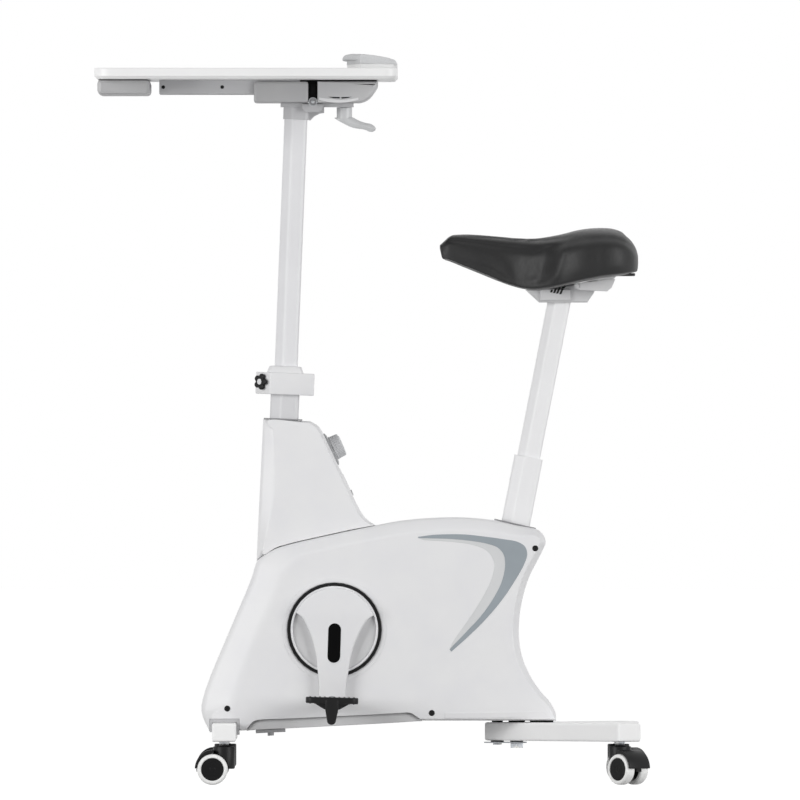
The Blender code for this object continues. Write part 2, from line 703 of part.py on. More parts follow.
def loft(name, rings, look):
    """Join a row of equal rings into one closed body with flat ends."""
    builder = bmesh.new()
    rows = [[builder.verts.new(point) for point in ring] for ring in rings]
    count = len(rows[0])
    for near, far in zip(rows, rows[1:]):
        for index in range(count):
            after = (index + 1) % count
            builder.faces.new((near[index], near[after], far[after], far[index]))
    builder.faces.new(rows[0])
    builder.faces.new(rows[-1])
    bmesh.ops.recalc_face_normals(builder, faces=builder.faces)
    return place_object(name, mesh_from(builder, name), look, (0, 0, 0), (0, 0, 0), None)


def casing_mesh(name, rim, panel, side, start, half, edge, taper):
    """Closed half of a casing: from its seam out along the rim, round its edge, to a flat side.

    The rounding takes the rim to the panel by 1 - cos while it rises by sin, a quarter turn.
    """
    rim = np.array(rim)
    panel = np.array(panel)
    builder = bmesh.new()
    depths = [(0.0, start), (0.0, half - edge)]
    for angle in np.radians([32.0, 62.0, 90.0]):
        depths.append((1.0 - math.cos(angle), half - edge + edge * math.sin(angle)))
    rows = []
    for share, depth in depths:
        flat = rim + (panel - rim) * share
        y = depth * taper(flat[:, 1]) if depth > start else np.full(len(flat), depth)
        rows.append([builder.verts.new((x, side * d, z)) for (x, z), d in zip(flat, y)])
    count = len(rim)
    for near, far in zip(rows, rows[1:]):
        for index in range(count):
            after = (index + 1) % count
            builder.faces.new((near[index], far[index], far[after], near[after]))
    builder.faces.new(rows[0])
    builder.faces.new(list(reversed(rows[-1])))
    if side > 0:
        bmesh.ops.reverse_faces(builder, faces=builder.faces)
    return mesh_from(builder, name)


def inset_outline(rows):
    """Split rows of X, Z and inset into the rim and the panel's edge inside it."""
    rows = np.array(rows)
    rim = rows[:, :2]
    ahead = np.roll(rim, -1, axis=0) - rim
    ahead /= np.linalg.norm(ahead, axis=1)[:, None]
    behind = rim - np.roll(rim, 1, axis=0)
    behind /= np.linalg.norm(behind, axis=1)[:, None]
    along = ahead + behind
    along /= np.linalg.norm(along, axis=1)[:, None]
    inward = np.column_stack([along[:, 1], -along[:, 0]])
    return rim, rim + inward * rows[:, 2:3]


def seam_curve():
    """The line where the neck stands on the body, front to back, with the body's edge inset."""
    return [
        (-0.1912, 0.3671, 0.034), (-0.1799, 0.3774, 0.030), (-0.1597, 0.3887, 0.026),
        (-0.1345, 0.3963, 0.024), (-0.0965, 0.4051, 0.023), (-0.0333, 0.4189, 0.022),
        (0.0045, 0.4265, 0.022)]


def body_outline():
    """Side view of the body, up the front, back along the top, down the rear."""
    front = [
        (-0.2693, 0.0850, 0.010), (-0.2808, 0.1099, 0.014), (-0.2833, 0.1262, 0.018),
        (-0.2797, 0.1447, 0.024), (-0.2704, 0.1724, 0.032), (-0.2369, 0.2530, 0.040),
        (-0.2013, 0.3374, 0.040), (-0.1912, 0.3671, 0.034)]
    top = seam_curve() + [
        (0.0450, 0.4340, 0.022), (0.0995, 0.4389, 0.022), (0.1539, 0.4394, 0.021),
        (0.2036, 0.4344, 0.020), (0.2390, 0.4266, 0.018), (0.2739, 0.4188, 0.012),
        (0.2830, 0.4092, 0.010), (0.2858, 0.3983, 0.009), (0.2817, 0.3874, 0.009)]
    rear = [
        (0.2817, 0.3874, 0.009), (0.2584, 0.3409, 0.010), (0.2475, 0.3053, 0.010),
        (0.2419, 0.2670, 0.010), (0.2426, 0.2315, 0.010), (0.2488, 0.2041, 0.010),
        (0.2610, 0.1767, 0.010), (0.2775, 0.1521, 0.010), (0.2939, 0.1330, 0.010),
        (0.3021, 0.1167, 0.010), (0.3034, 0.1040, 0.010)]
    bottom = [
        (0.3034, 0.1040, 0.010), (0.1400, 0.1040, 0.010), (0.0813, 0.1040, 0.010),
        (0.0450, 0.1011, 0.010), (-0.1398, 0.0914, 0.010), (-0.2219, 0.0873, 0.010)]
    return smooth(front, 1) + smooth(top, 1) + smooth(rear, 1) + [np.array(p) for p in bottom]


def neck_outline():
    """Side view of the neck, up the front, along its top and down the sloping rear."""
    foot = [(x, z + GAP + 0.0002, 0.003) for x, z, _ in seam_curve()]
    front = [(-0.1922, 0.3678, 0.014), (-0.1812, 0.6020, 0.014)]
    top = [(-0.1812, 0.6020, 0.014), (-0.1750, 0.6018, 0.003), (-0.1041, 0.5990, 0.003)]
    crown = [(-0.1041, 0.5990, 0.003), (-0.0916, 0.5920, 0.006), (-0.0840, 0.5820, 0.010),
             (-0.0813, 0.5768, 0.012)]
    slope = [(-0.0813, 0.5768, 0.012), (-0.0561, 0.5239, 0.012), (-0.0436, 0.4985, 0.012),
             (-0.0259, 0.4607, 0.012)]
    fillet = [(-0.0259, 0.4607, 0.012), (-0.0157, 0.4430, 0.010), (-0.0056, 0.4330, 0.006),
              (0.0045, 0.4272, 0.003)]
    rows = smooth(front, 2) + [np.array(p) for p in top[:-1]] + smooth(crown, 2)
    rows += [np.array(p) for p in slope[:-1]] + smooth(fillet, 2)
    rows += [np.array(p) for p in reversed(foot[1:])]
    return rows


def neck_hollow():
    """Side view of the space inside the neck; its thin lower tip stays solid."""
    return [
        (-0.1892, 0.3752, 0.012), (-0.1786, 0.5988, 0.012), (-0.1730, 0.5986, 0.003),
        (-0.1045, 0.5959, 0.003), (-0.0936, 0.5900, 0.006), (-0.0862, 0.5806, 0.010),
        (-0.0588, 0.5228, 0.011), (-0.0463, 0.4974, 0.011), (-0.0300, 0.4630, 0.010),
        (-0.0300, 0.4240, 0.003), (-0.0965, 0.4086, 0.003), (-0.1345, 0.3998, 0.003),
        (-0.1597, 0.3922, 0.003), (-0.1780, 0.3820, 0.006)]


def neck_width(height):
    """The neck narrows evenly from its foot to its top."""
    return 1.0 - NECK_TAPER * (height - NECK_FOOT) / NECK_HEIGHT


def full_width(height):
    """The body keeps one width at every height."""
    return np.ones_like(height)


def make_casing(mast_frame, seat_frame):
    """Both halves of the body and of the neck, with the openings that pieces pass through."""
    cable_way = block("neck_opening", (-0.1808, -0.0365, 0.370), (-0.0340, 0.0365, 0.436))
    notch = block(
        "channel_notch", (CROSSBAR_X - 0.0247, -0.1, 0.06), (CROSSBAR_X + 0.0247, 0.1, BEAM_BOTTOM))
    axle_hole = cylinder(
        "axle_opening", 0.020, 0.20, (CRANK_X, 0, CRANK_Z), turn=(QUARTER, 0, 0))
    seat_hole = prism(
        "seat_opening", [tube_section(OUTER_DEPTH + 0.003, OUTER_WIDTH + 0.003)], 0.05,
        (0, 0, -0.115), parent=seat_frame)
    bolt_holes = [
        cylinder(f"spacer_opening_{index}", radius, 0.02, (x, 0, 0.1040))
        for index, (x, radius) in enumerate(((0.2060, 0.0096), (0.2381, 0.0140)))]
    belly_hole = cylinder("belly_opening", 0.0055, 0.02, (-0.1692, 0, 0.0915))

    rim, panel = inset_outline(body_outline())
    hollow_rim, hollow_panel = wall_outline(body_outline())
    neck_rim, neck_panel = inset_outline(neck_outline())
    neck_inner, neck_inner_panel = inset_outline(neck_hollow())
    mast_hole = prism(
        "mast_opening", [tube_section(OUTER_DEPTH + 0.002, OUTER_WIDTH + 0.002)], 0.05,
        (0, 0, -0.0905), parent=mast_frame)
    display_hole = box(
        "display_opening", (0.0412, 0.0512, 0.030), (DISPLAY_X, 0, DISPLAY_Z),
        turn=(0, DISPLAY_TURN, 0))
    knob_hole = cylinder(
        "knob_opening", 0.0052, 0.030, (KNOB_X, 0, KNOB_Z), turn=(0, KNOB_TURN, 0), segments=24)
    for side, label in ((-1, "left"), (1, "right")):
        body = place_object(
            "housing_" + label,
            casing_mesh(
                "housing_" + label, rim, panel, side, SEAM_GAP, SHELL_HALF, SHELL_EDGE,
                full_width), "white_plastic", (0, 0, 0), (0, 0, 0), None)
        body_space = place_object(
            "housing_space_" + label,
            casing_mesh(
                "housing_space_" + label, hollow_rim, hollow_panel, side, -0.002,
                SHELL_HALF - SHELL_WALL, SHELL_EDGE, full_width), None, (0, 0, 0), (0, 0, 0), None)
        cut(body, body_space, cable_way, notch, axle_hole, seat_hole, belly_hole, *bolt_holes)
        neck = place_object(
            "neck_cover_" + label,
            casing_mesh(
                "neck_cover_" + label, neck_rim, neck_panel, side, SEAM_GAP, NECK_HALF, NECK_EDGE,
                neck_width), "white_plastic", (0, 0, 0), (0, 0, 0), None)
        neck_space = place_object(
            "neck_space_" + label,
            casing_mesh(
                "neck_space_" + label, neck_inner, neck_inner_panel, side, -0.002,
                NECK_HALF - SHELL_WALL, NECK_EDGE, neck_width), None, (0, 0, 0), (0, 0, 0), None)
        cut(neck, neck_space, cable_way, mast_hole, display_hole, knob_hole)


def wall_outline(rows):
    """Rim and panel edge of the space inside, one wall's thickness in from the outside."""
    rim, panel = inset_outline(rows)
    inward = panel - rim
    inward /= np.linalg.norm(inward, axis=1)[:, None]
    return rim + inward * SHELL_WALL, panel + inward * SHELL_WALL * 0.5


def make_gaskets(mast_frame, seat_frame):
    """Dark trim rings where the mast leaves the neck and the seat tube leaves the body."""
    hole = tube_section(OUTER_DEPTH + 2 * GAP, OUTER_WIDTH + 2 * GAP)
    rim = rounded(
        [(0.0300, -0.0395), (0.0300, 0.0395), (-0.0200, 0.0395), (-0.0335, 0.0290),
         (-0.0335, -0.0290), (-0.0200, -0.0395)], [0.004] * 6, 2)
    prism("mast_gasket", [rim, hole], 0.0022, (0, 0, -0.0885), "dark_gasket", parent=mast_frame)
    seat_rim = rounded(
        [(0.0342, -0.0440), (0.0342, 0.0440), (-0.0358, 0.0440), (-0.0358, -0.0440)],
        [0.006] * 4, 2)
    tilt = math.radians(1.45)
    prism(
        "seat_gasket", [seat_rim, tube_section(OUTER_DEPTH + 0.0014, OUTER_WIDTH + 0.0010)],
        0.0020, (0, 0, -0.1128), "dark_gasket", (0, tilt, 0), seat_frame)


def make_rings():
    """Black ring round each crank cover, let in against the side of the body."""
    for side, label in ((-1, "left"), (1, "right")):
        inner = DISC_RADIUS + 0.0006
        face = SHELL_HALF + GAP
        profile = [
            (RING_RADIUS, 0.0026), (RING_RADIUS, 0.0), (inner, 0.0), (inner, 0.0026)]
        place = (CRANK_X, side * face, CRANK_Z)
        turned(
            "crank_ring_" + label, profile, "black_plastic", place, (-side * QUARTER, 0, 0),
            steps=36, ring=True)


def arm_outline():
    """Raised face of the crank cover: round over the top, waisted sides, round at the pedal."""
    waist = [
        (0.0655, 0.0240), (0.0470, 0.0090), (0.0370, -0.0130), (0.0295, -0.0360),
        (0.0264, -0.0560), (0.0240, -0.0750), (0.0222, -0.0950), (0.0215, -0.1100)]
    right = [tuple(p) for p in smooth(waist, 2)] + [waist[-1]]
    end = [(0.0215 * math.cos(a), -0.1100 - 0.0170 * math.sin(a))
           for a in np.radians([20, 42, 66, 90, 114, 138, 160])]
    left = [(-x, z) for x, z in reversed(right)]
    over = arc((0, 0), DISC_RADIUS - 0.0015, 160.0, 20.0, 14)
    return over + right[1:] + end + left[:-1]


def make_crank():
    """Crank axle with its drive pulley, both crank covers with their pedals, in one frame."""
    crank = empty("crank_axis", (CRANK_X, 0, CRANK_Z), (0, CRANK_LEAN, 0))
    axle_half = 0.0860
    cylinder("crank_axle", AXLE_RADIUS, 2 * axle_half, (0, 0, 0), "steel", (QUARTER, 0, 0), crank)
    bore = AXLE_RADIUS + GAP
    middle = (PULLEY_INNER + PULLEY_OUTER) / 2
    thick = (PULLEY_OUTER - PULLEY_INNER) / 2
    profile = [
        (PULLEY_RADIUS + 0.003, thick), (PULLEY_RADIUS + 0.003, thick - 0.0015),
        (PULLEY_RADIUS, thick - 0.0015), (PULLEY_RADIUS, 0.0015 - thick),
        (PULLEY_RADIUS + 0.003, 0.0015 - thick), (PULLEY_RADIUS + 0.003, -thick),
        (bore, -thick), (bore, thick), (0.018, thick), (0.018, 0.002), (0.060, 0.002),
        (0.060, thick)]
    turned(
        "drive_pulley", profile, "black_plastic", (0, middle, 0), (-QUARTER, 0, 0), crank,
        steps=24, ring=True)
    outline = arm_outline()
    for side, label in ((-1, "left"), (1, "right")):
        flip = math.pi if side > 0 else 0.0
        arm_frame = empty(f"{label}_arm_frame", (0, 0, 0), (0, flip, 0), crank)
        inner = side * (SHELL_HALF + 0.0009)
        disc_face = side * 0.0800
        cover = cylinder(
            "crank_cover_" + label, DISC_RADIUS, abs(disc_face - inner),
            (0, (inner + disc_face) / 2, 0), "white_plastic", (QUARTER, 0, 0), arm_frame,
            segments=36)
        low, high = sorted((side * 0.0765, side * 0.0890))
        arm = side_prism(f"{label}_arm", [outline], low, high, parent=arm_frame)
        round_edges(arm, 0.0025, 1, 60.0)
        spindle = cylinder(
            f"{label}_spindle", 0.0060, 0.100, (0, side * 0.135, -CRANK_LENGTH),
            turn=(QUARTER, 0, 0), parent=arm_frame, segments=20)
        hole = cylinder(
            f"{label}_axle_hole", AXLE_RADIUS + GAP, 0.030, (0, side * 0.0718, 0),
            turn=(QUARTER, 0, 0), parent=arm_frame)
        weld(cover, arm, spindle)
        cut(cover, hole)
        make_pedal(label, side, crank)


def make_pedal(label, side, crank):
    """A flat platform on a tapering body that hangs a rounded tongue below the spindle."""
    axis = empty(
        f"pedal_{label}_axis", (0, 0, side * CRANK_LENGTH), (0, -CRANK_LEAN, 0), crank)
    half = PEDAL_LENGTH / 2
    low, high = sorted((side * PEDAL_INNER, side * (PEDAL_INNER + PEDAL_WIDTH)))
    plan = rounded([(-half, low), (half, low), (half, high), (-half, high)], [0.012] * 4, 3)
    pedal = prism(
        "pedal_" + label, [plan], 0.0100, (0, 0, 0.0022), "black_plastic", parent=axis)
    round_edges(pedal, 0.0015, 1)
    taper = [(-0.0300, 0.0), (0.0300, 0.0), (0.0280, -0.0045), (0.0125, -0.0135),
             (-0.0125, -0.0135), (-0.0280, -0.0045)]
    body = side_prism(f"{label}_pedal_body", [taper], low + 0.006, high - 0.006, parent=axis)
    tip = [(0.0075 * math.cos(a), -0.0313 - 0.0075 * math.sin(a))
           for a in np.radians([0, 30, 60, 90, 120, 150, 180])]
    tongue_points = [(-0.0112, -0.0120), (0.0112, -0.0120)] + tip
    middle = (low + high) / 2
    tongue = side_prism(
        f"{label}_pedal_tongue", [tongue_points], middle - 0.016, middle + 0.016, parent=axis)
    round_edges(tongue, 0.002, 1, 60.0)
    bore = cylinder(
        f"{label}_pedal_bore", 0.0063, 0.0905, (0, side * (PEDAL_INNER + 0.0440), 0),
        turn=(QUARTER, 0, 0), parent=axis, segments=20)
    weld(pedal, body, tongue)
    cut(pedal, bore)


def make_drive():
    """Bracket on the spine that carries the crank and flywheel, with the belt and brake."""
    foot = block(
        "drive_bracket", (-0.095, -0.024, BEAM_TOP + GAP), (0.105, 0.024, BEAM_TOP + 0.0045),
        "steel")
    shell = cylinder(
        "crank_shell", 0.021, 0.050, (CRANK_X, 0, CRANK_Z), turn=(QUARTER, 0, 0), segments=28)
    web = side_prism(
        "crank_web", [[(-0.092, BEAM_TOP + 0.002), (-0.034, BEAM_TOP + 0.002), (-0.048, 0.2450),
                       (-0.079, 0.2450)]], -0.012, 0.012)
    crank_bore = cylinder(
        "crank_bore", AXLE_RADIUS + GAP, 0.08, (CRANK_X, 0, CRANK_Z), turn=(QUARTER, 0, 0))
    weld(foot, shell, web)
    pivot = (0.1478, 0.3570)
    stay_points = [
        (0.040, BEAM_TOP + 0.002), (0.100, BEAM_TOP + 0.002), (0.086, 0.258), (0.156, 0.352),
        (0.152, 0.364), (0.141, 0.364), (0.064, 0.280), (0.054, 0.262)]
    for side in (-1, 1):
        low, high = sorted((side * 0.0170, side * 0.0205))
        weld(foot, side_prism(f"flywheel_stay_{side}", [stay_points], low, high))
    pin = cylinder(
        "brake_pin", 0.004, 0.039, (pivot[0], 0, pivot[1]), turn=(QUARTER, 0, 0), segments=20)
    axle_bore = cylinder(
        "flywheel_bore", 0.0063, 0.06, (FLYWHEEL_X, 0, FLYWHEEL_Z), turn=(QUARTER, 0, 0),
        segments=24)
    weld(foot, pin)
    cut(foot, crank_bore, axle_bore)

    rim = 0.0120
    wheel_profile = [
        (0, -0.026), (0.0060, -0.026), (0.0060, -0.0145), (0.0180, -0.0145), (0.0180, -0.004),
        (0.0800, -0.004), (0.0800, -rim), (FLYWHEEL_RADIUS, -rim), (FLYWHEEL_RADIUS, rim),
        (0.0800, rim), (0.0800, 0.004), (0.0180, 0.004), (0.0180, 0.0145), (0.0060, 0.0145),
        (0.0060, PULLEY_INNER), (SMALL_PULLEY_RADIUS, PULLEY_INNER),
        (SMALL_PULLEY_RADIUS, PULLEY_OUTER), (0, PULLEY_OUTER)]
    turned(
        "flywheel", list(reversed(wheel_profile)), "steel", (FLYWHEEL_X, 0, FLYWHEEL_Z),
        (-QUARTER, 0, 0), steps=24)

    belt_outer = belt_outline(0.0022)
    belt_inner = belt_outline(GAP)
    side_prism(
        "drive_belt", [belt_outer, belt_inner], PULLEY_INNER + 0.0022, PULLEY_OUTER - 0.0022,
        "belt_rubber")

    centre = (FLYWHEEL_X, FLYWHEEL_Z)
    arch = arc(centre, FLYWHEEL_RADIUS + 0.004, 60, 118, 10)
    arch += arc(centre, FLYWHEEL_RADIUS + 0.012, 118, 62, 10)
    magnet = side_prism("magnet_bracket", [arch], -0.0160, 0.0160, "steel")
    eye = cylinder(
        "magnet_eye", 0.009, 0.032, (pivot[0], 0, pivot[1]), turn=(QUARTER, 0, 0), segments=24)
    link = side_prism(
        "magnet_link", [[(0.1185, 0.3600), (0.1300, 0.3560), (0.1470, 0.3500), (0.1490, 0.3640),
                         (0.1280, 0.3740)]], -0.0155, 0.0155)
    pin_hole = cylinder(
        "magnet_pin_hole", 0.0044, 0.06, (pivot[0], 0, pivot[1]), turn=(QUARTER, 0, 0),
        segments=20)
    weld(magnet, link, eye)
    cut(magnet, pin_hole)


def belt_outline(offset):
    """Loop of two arcs and their outer tangents round both pulleys."""
    big = np.array((CRANK_X, CRANK_Z))
    small = np.array((FLYWHEEL_X, FLYWHEEL_Z))
    line = small - big
    heading = math.degrees(math.atan2(line[1], line[0]))
    spread = math.degrees(math.acos((PULLEY_RADIUS - SMALL_PULLEY_RADIUS) / np.linalg.norm(line)))
    loop = arc(big, PULLEY_RADIUS + offset, heading + spread, heading + 360 - spread, 24)
    loop += arc(small, SMALL_PULLEY_RADIUS + offset, heading - spread, heading + spread, 8)
    return loop


def slope_point(x, z, turn, out, down=0.0, across=0.0):
    """A point set off the neck's slope: outwards, down along it and across."""
    return (
        x + out * math.sin(turn) + down * math.cos(turn), across,
        z + out * math.cos(turn) - down * math.sin(turn))


def make_controls():
    """Resistance knob on its plate, the display with its button, and the brake cable."""
    plate = cylinder(
        "knob_plate", KNOB_PLATE_RADIUS, 0.0022,
        slope_point(KNOB_X, KNOB_Z, KNOB_TURN, 0.0016), "grey_plastic", (0, KNOB_TURN, 0),
        segments=32)
    plate_hole = cylinder(
        "knob_plate_hole", 0.0044, 0.010, slope_point(KNOB_X, KNOB_Z, KNOB_TURN, 0.0015),
        turn=(0, KNOB_TURN, 0), segments=24)
    cut(plate, plate_hole)
    axis = empty("knob_axis", (KNOB_X, 0, KNOB_Z), (0, KNOB_TURN, 0))
    profile = [
        (0, 0.0182), (0.0080, 0.0179), (0.0135, 0.0168), (0.0172, 0.0146), (0.0190, 0.0112),
        (KNOB_RADIUS, 0.0070), (KNOB_RADIUS, 0.0030), (0.0040, 0.0030), (0.0040, -0.0160),
        (0, -0.0160)]
    turned("resistance_knob", profile, "grey_plastic", parent=axis, steps=24)

    display = box(
        "display_panel", (0.0404, 0.0504, 0.0080),
        slope_point(DISPLAY_X, DISPLAY_Z, DISPLAY_TURN, -0.0030), "black_plastic",
        turn=(0, DISPLAY_TURN, 0), rounding=0.0012, segments=1)
    button_place = slope_point(DISPLAY_X, DISPLAY_Z, DISPLAY_TURN, -0.0030, 0.0140)
    well = cylinder(
        "button_well", 0.0054, 0.0080, slope_point(
            DISPLAY_X, DISPLAY_Z, DISPLAY_TURN, -0.0005, 0.0140),
        turn=(0, DISPLAY_TURN, 0), segments=24)
    cut(display, well)
    button_axis = empty("button_axis", button_place, (0, DISPLAY_TURN, 0))
    button = cylinder(
        "display_button", 0.0050, 0.0040, (0, 0, 0.0029), "grey_plastic", parent=button_axis,
        segments=24)
    round_edges(button, 0.0006, 1)

    route = [
        (-0.0800, 0.5370), (-0.0770, 0.5080), (-0.0680, 0.4720), (-0.0500, 0.4320),
        (-0.0230, 0.3990), (0.0120, 0.3850), (0.0500, 0.3815)]
    path = smooth(route, 2) + [np.array(route[-1])]
    cable_along(path, 0.0025)


def cable_along(path, radius):
    """Round cable swept along a path in X and Z."""
    count = 8
    angles = np.linspace(0, 2 * math.pi, count, endpoint=False)
    rings = []
    for index, (x, z) in enumerate(path):
        before = path[max(index - 1, 0)]
        after = path[min(index + 1, len(path) - 1)]
        along = (after - before) / np.linalg.norm(after - before)
        ring = [
            (x - along[1] * radius * math.cos(a), radius * math.sin(a),
             z + along[0] * radius * math.cos(a)) for a in angles]
        rings.append(ring)
    loft("tension_cable", rings, "black_plastic")


def make_seat():
    """Seat tube, its telescopic post and gas spring; returns the frame they share."""
    frame = empty("seat_frame", (SEAT_X, 0, SEAT_Z), (0, SEAT_LEAN, 0))
    foot = (BEAM_TOP - SEAT_Z) / math.cos(SEAT_LEAN)
    outer = tube(
        "seat_outer_tube", OUTER_DEPTH, OUTER_WIDTH, INNER_DEPTH + 2 * SLIDE_GAP,
        INNER_WIDTH + 2 * SLIDE_GAP, foot - 0.02, 0.0, "white_paint", frame)
    floor = block("seat_foot_cut", (0.0, -0.1, 0.08), (0.35, 0.1, BEAM_TOP + GAP + 0.003))
    cut(outer, floor)
    plate = block(
        "seat_foot_plate", (0.128, -0.029, BEAM_TOP + GAP), (0.240, 0.029, BEAM_TOP + 0.0045))
    rod = cylinder(
        "seat_spring_rod", 0.005, 0.320, (0, 0, -0.245), parent=frame, segments=20)
    rod_trim = block(
        "seat_rod_trim", (0.0, -0.02, 0.10), (0.35, 0.02, BEAM_TOP + 0.0010))
    cut(rod, rod_trim)
    weld(outer, plate, rod)

    tube("seat_inner_post", INNER_DEPTH, INNER_WIDTH, INNER_DEPTH - 2 * TUBE_WALL,
         INNER_WIDTH - 2 * TUBE_WALL, -SEAT_OVERLAP, SEAT_TOP_S, "white_paint", frame)
    spring_low = -0.100
    spring_high = 0.272
    spring = cylinder(
        "gas_spring", 0.014, spring_high - spring_low, (0, 0, (spring_low + spring_high) / 2),
        "black_plastic", parent=frame, segments=28)
    bore = cylinder(
        "gas_spring_bore", 0.0054, 0.250, (0, 0, spring_low + 0.105), parent=frame, segments=20)
    cut(spring, bore)
    return frame


def make_bracket(seat_frame):
    """Folded bracket under the saddle that takes the post, and the flap that frees it."""
    profile = [
        (0.2513, 0.8172), (0.2752, 0.7953), (0.3548, 0.7953), (0.3655, 0.8110),
        (0.3740, 0.8330), (0.3500, 0.8292), (0.3200, 0.8240), (0.2930, 0.8192),
        (0.2751, 0.8170)]
    bracket = side_prism("saddle_bracket", [profile], -0.038, 0.038, "grey_plastic")
    round_edges(bracket, 0.0020, 1, 60.0)
    for side in (-1, 1):
        low, high = sorted((side * 0.037, side * 0.0425))
        cheek = block(f"bracket_cheek_{side}", (0.2770, low, 0.7985), (0.3270, high, 0.8172))
        round_edges(cheek, 0.0012, 1)
        weld(bracket, cheek)
    socket = prism(
        "bracket_socket", [tube_section(INNER_DEPTH + 2 * GAP, INNER_WIDTH + 2 * GAP)], 0.10,
        (0, 0, SEAT_TOP_S + GAP - 0.05), parent=seat_frame)
    pivot_x, pivot_z = 0.3380, 0.8225
    pin = cylinder(
        "lever_pin", 0.004, 0.034, (pivot_x, -0.0545, pivot_z), turn=(QUARTER, 0, 0), segments=20)
    weld(bracket, pin)
    cut(bracket, socket)

    flap = [
        (0.3320, 0.8255), (0.3330, 0.8185), (0.3420, 0.8155), (0.3874, 0.8135),
        (0.3950, 0.8200), (0.4010, 0.8340), (0.3920, 0.8345), (0.3620, 0.8300),
        (0.3400, 0.8275)]
    axis = empty("seat_lever_axis", (pivot_x, 0, pivot_z))
    local = [(x - pivot_x, z - pivot_z) for x, z in flap]
    lever = side_prism("seat_lever", [local], -0.0720, -0.0432, "grey_plastic", axis)
    round_edges(lever, 0.0010, 1, 60.0)
    lever_hole = cylinder(
        "lever_hole", 0.0043, 0.034, (0, -0.0570, 0), turn=(QUARTER, 0, 0), parent=axis,
        segments=20)
    cut(lever, lever_hole)


def curve_through(controls, x):
    """Height or width at x of a smooth curve through the controls."""
    path = np.array(smooth(controls, 8) + [np.array(controls[-1])])
    return np.interp(x, path[:, 0], path[:, 1])


def saddle_top(x):
    """Height of the crown of the saddle over its length."""
    return curve_through(
        [(0.1105, 0.8905), (0.1180, 0.8990), (0.1270, 0.9045), (0.1538, 0.9062),
         (0.1993, 0.9037), (0.2422, 0.9004), (0.2751, 0.9012), (0.3054, 0.9088),
         (0.3307, 0.9138), (0.3559, 0.9164), (0.3937, 0.9164), (0.4115, 0.9113),
         (0.4265, 0.8999), (0.4354, 0.8823), (0.4392, 0.8640)], x)


def saddle_bottom(x):
    """Height of the lower edge of the saddle over its length."""
    return curve_through(
        [(0.1105, 0.8800), (0.1150, 0.8720), (0.1210, 0.8670), (0.1285, 0.8645),
         (0.1538, 0.8557), (0.1790, 0.8443), (0.2043, 0.8342), (0.2295, 0.8255),
         (0.2498, 0.8196), (0.2751, 0.8180), (0.2927, 0.8204), (0.3307, 0.8293),
         (0.3812, 0.8394), (0.4150, 0.8432), (0.4340, 0.8480), (0.4392, 0.8560)], x)


def saddle_width(x):
    """Half width of the saddle over its length."""
    return curve_through(
        [(0.1105, 0.0150), (0.1140, 0.0215), (0.1250, 0.0290), (0.1600, 0.0340),
         (0.2000, 0.0380), (0.2400, 0.0480), (0.2700, 0.0660), (0.3000, 0.0910),
         (0.3300, 0.1110), (0.3600, 0.1210), (0.3900, 0.1220), (0.4150, 0.1120),
         (0.4300, 0.0940), (0.4392, 0.0620)], x)


def make_saddle():
    """Padded saddle, hollow underneath, and the shell it is stretched over."""
    stations = [
        0.1105, 0.1150, 0.1230, 0.1350, 0.1550, 0.1800, 0.2050, 0.2300, 0.2500, 0.2680,
        0.2850, 0.3020, 0.3200, 0.3400, 0.3620, 0.3840, 0.4020, 0.4160, 0.4270, 0.4350, 0.4392]
    skirt = 0.010
    rings = []
    for x in stations:
        top = saddle_top(x)
        low = saddle_bottom(x)
        wide = saddle_width(x)
        high = top - low
        hollow = 0.006 if 0.125 < x < 0.431 else 0.0002
        half = [
            (0.0, low + hollow), (wide - skirt, low + hollow), (wide - skirt, low),
            (wide * 0.95, low), (wide, low + 0.30 * high), (wide * 0.985, low + 0.55 * high),
            (wide * 0.92, low + 0.80 * high), (wide * 0.76, low + 0.93 * high),
            (wide * 0.48, low + 0.99 * high), (wide * 0.20, low + 0.995 * high),
            (0.0, low + 0.985 * high)]
        mirrored = [(-y, z) for y, z in reversed(half[1:-1])]
        rings.append([(x, y, z) for y, z in half + mirrored])
    loft("saddle_cushion", rings, "black_leather")

    rings = []
    for x in np.linspace(0.1380, 0.4200, 17):
        low = saddle_bottom(x)
        wide = saddle_width(x) - skirt - 0.0012
        rings.append([
            (x, -wide, low + 0.0016), (x, wide, low + 0.0016), (x, wide, low + 0.0048),
            (x, -wide, low + 0.0048)])
    base = loft("saddle_base", rings, "black_plastic")
    foot = side_prism(
        "saddle_base_foot", [[(0.2870, 0.8197), (0.3560, 0.8312), (0.3560, 0.8370),
                              (0.2870, 0.8230)]], -0.030, 0.030)
    weld(base, foot)


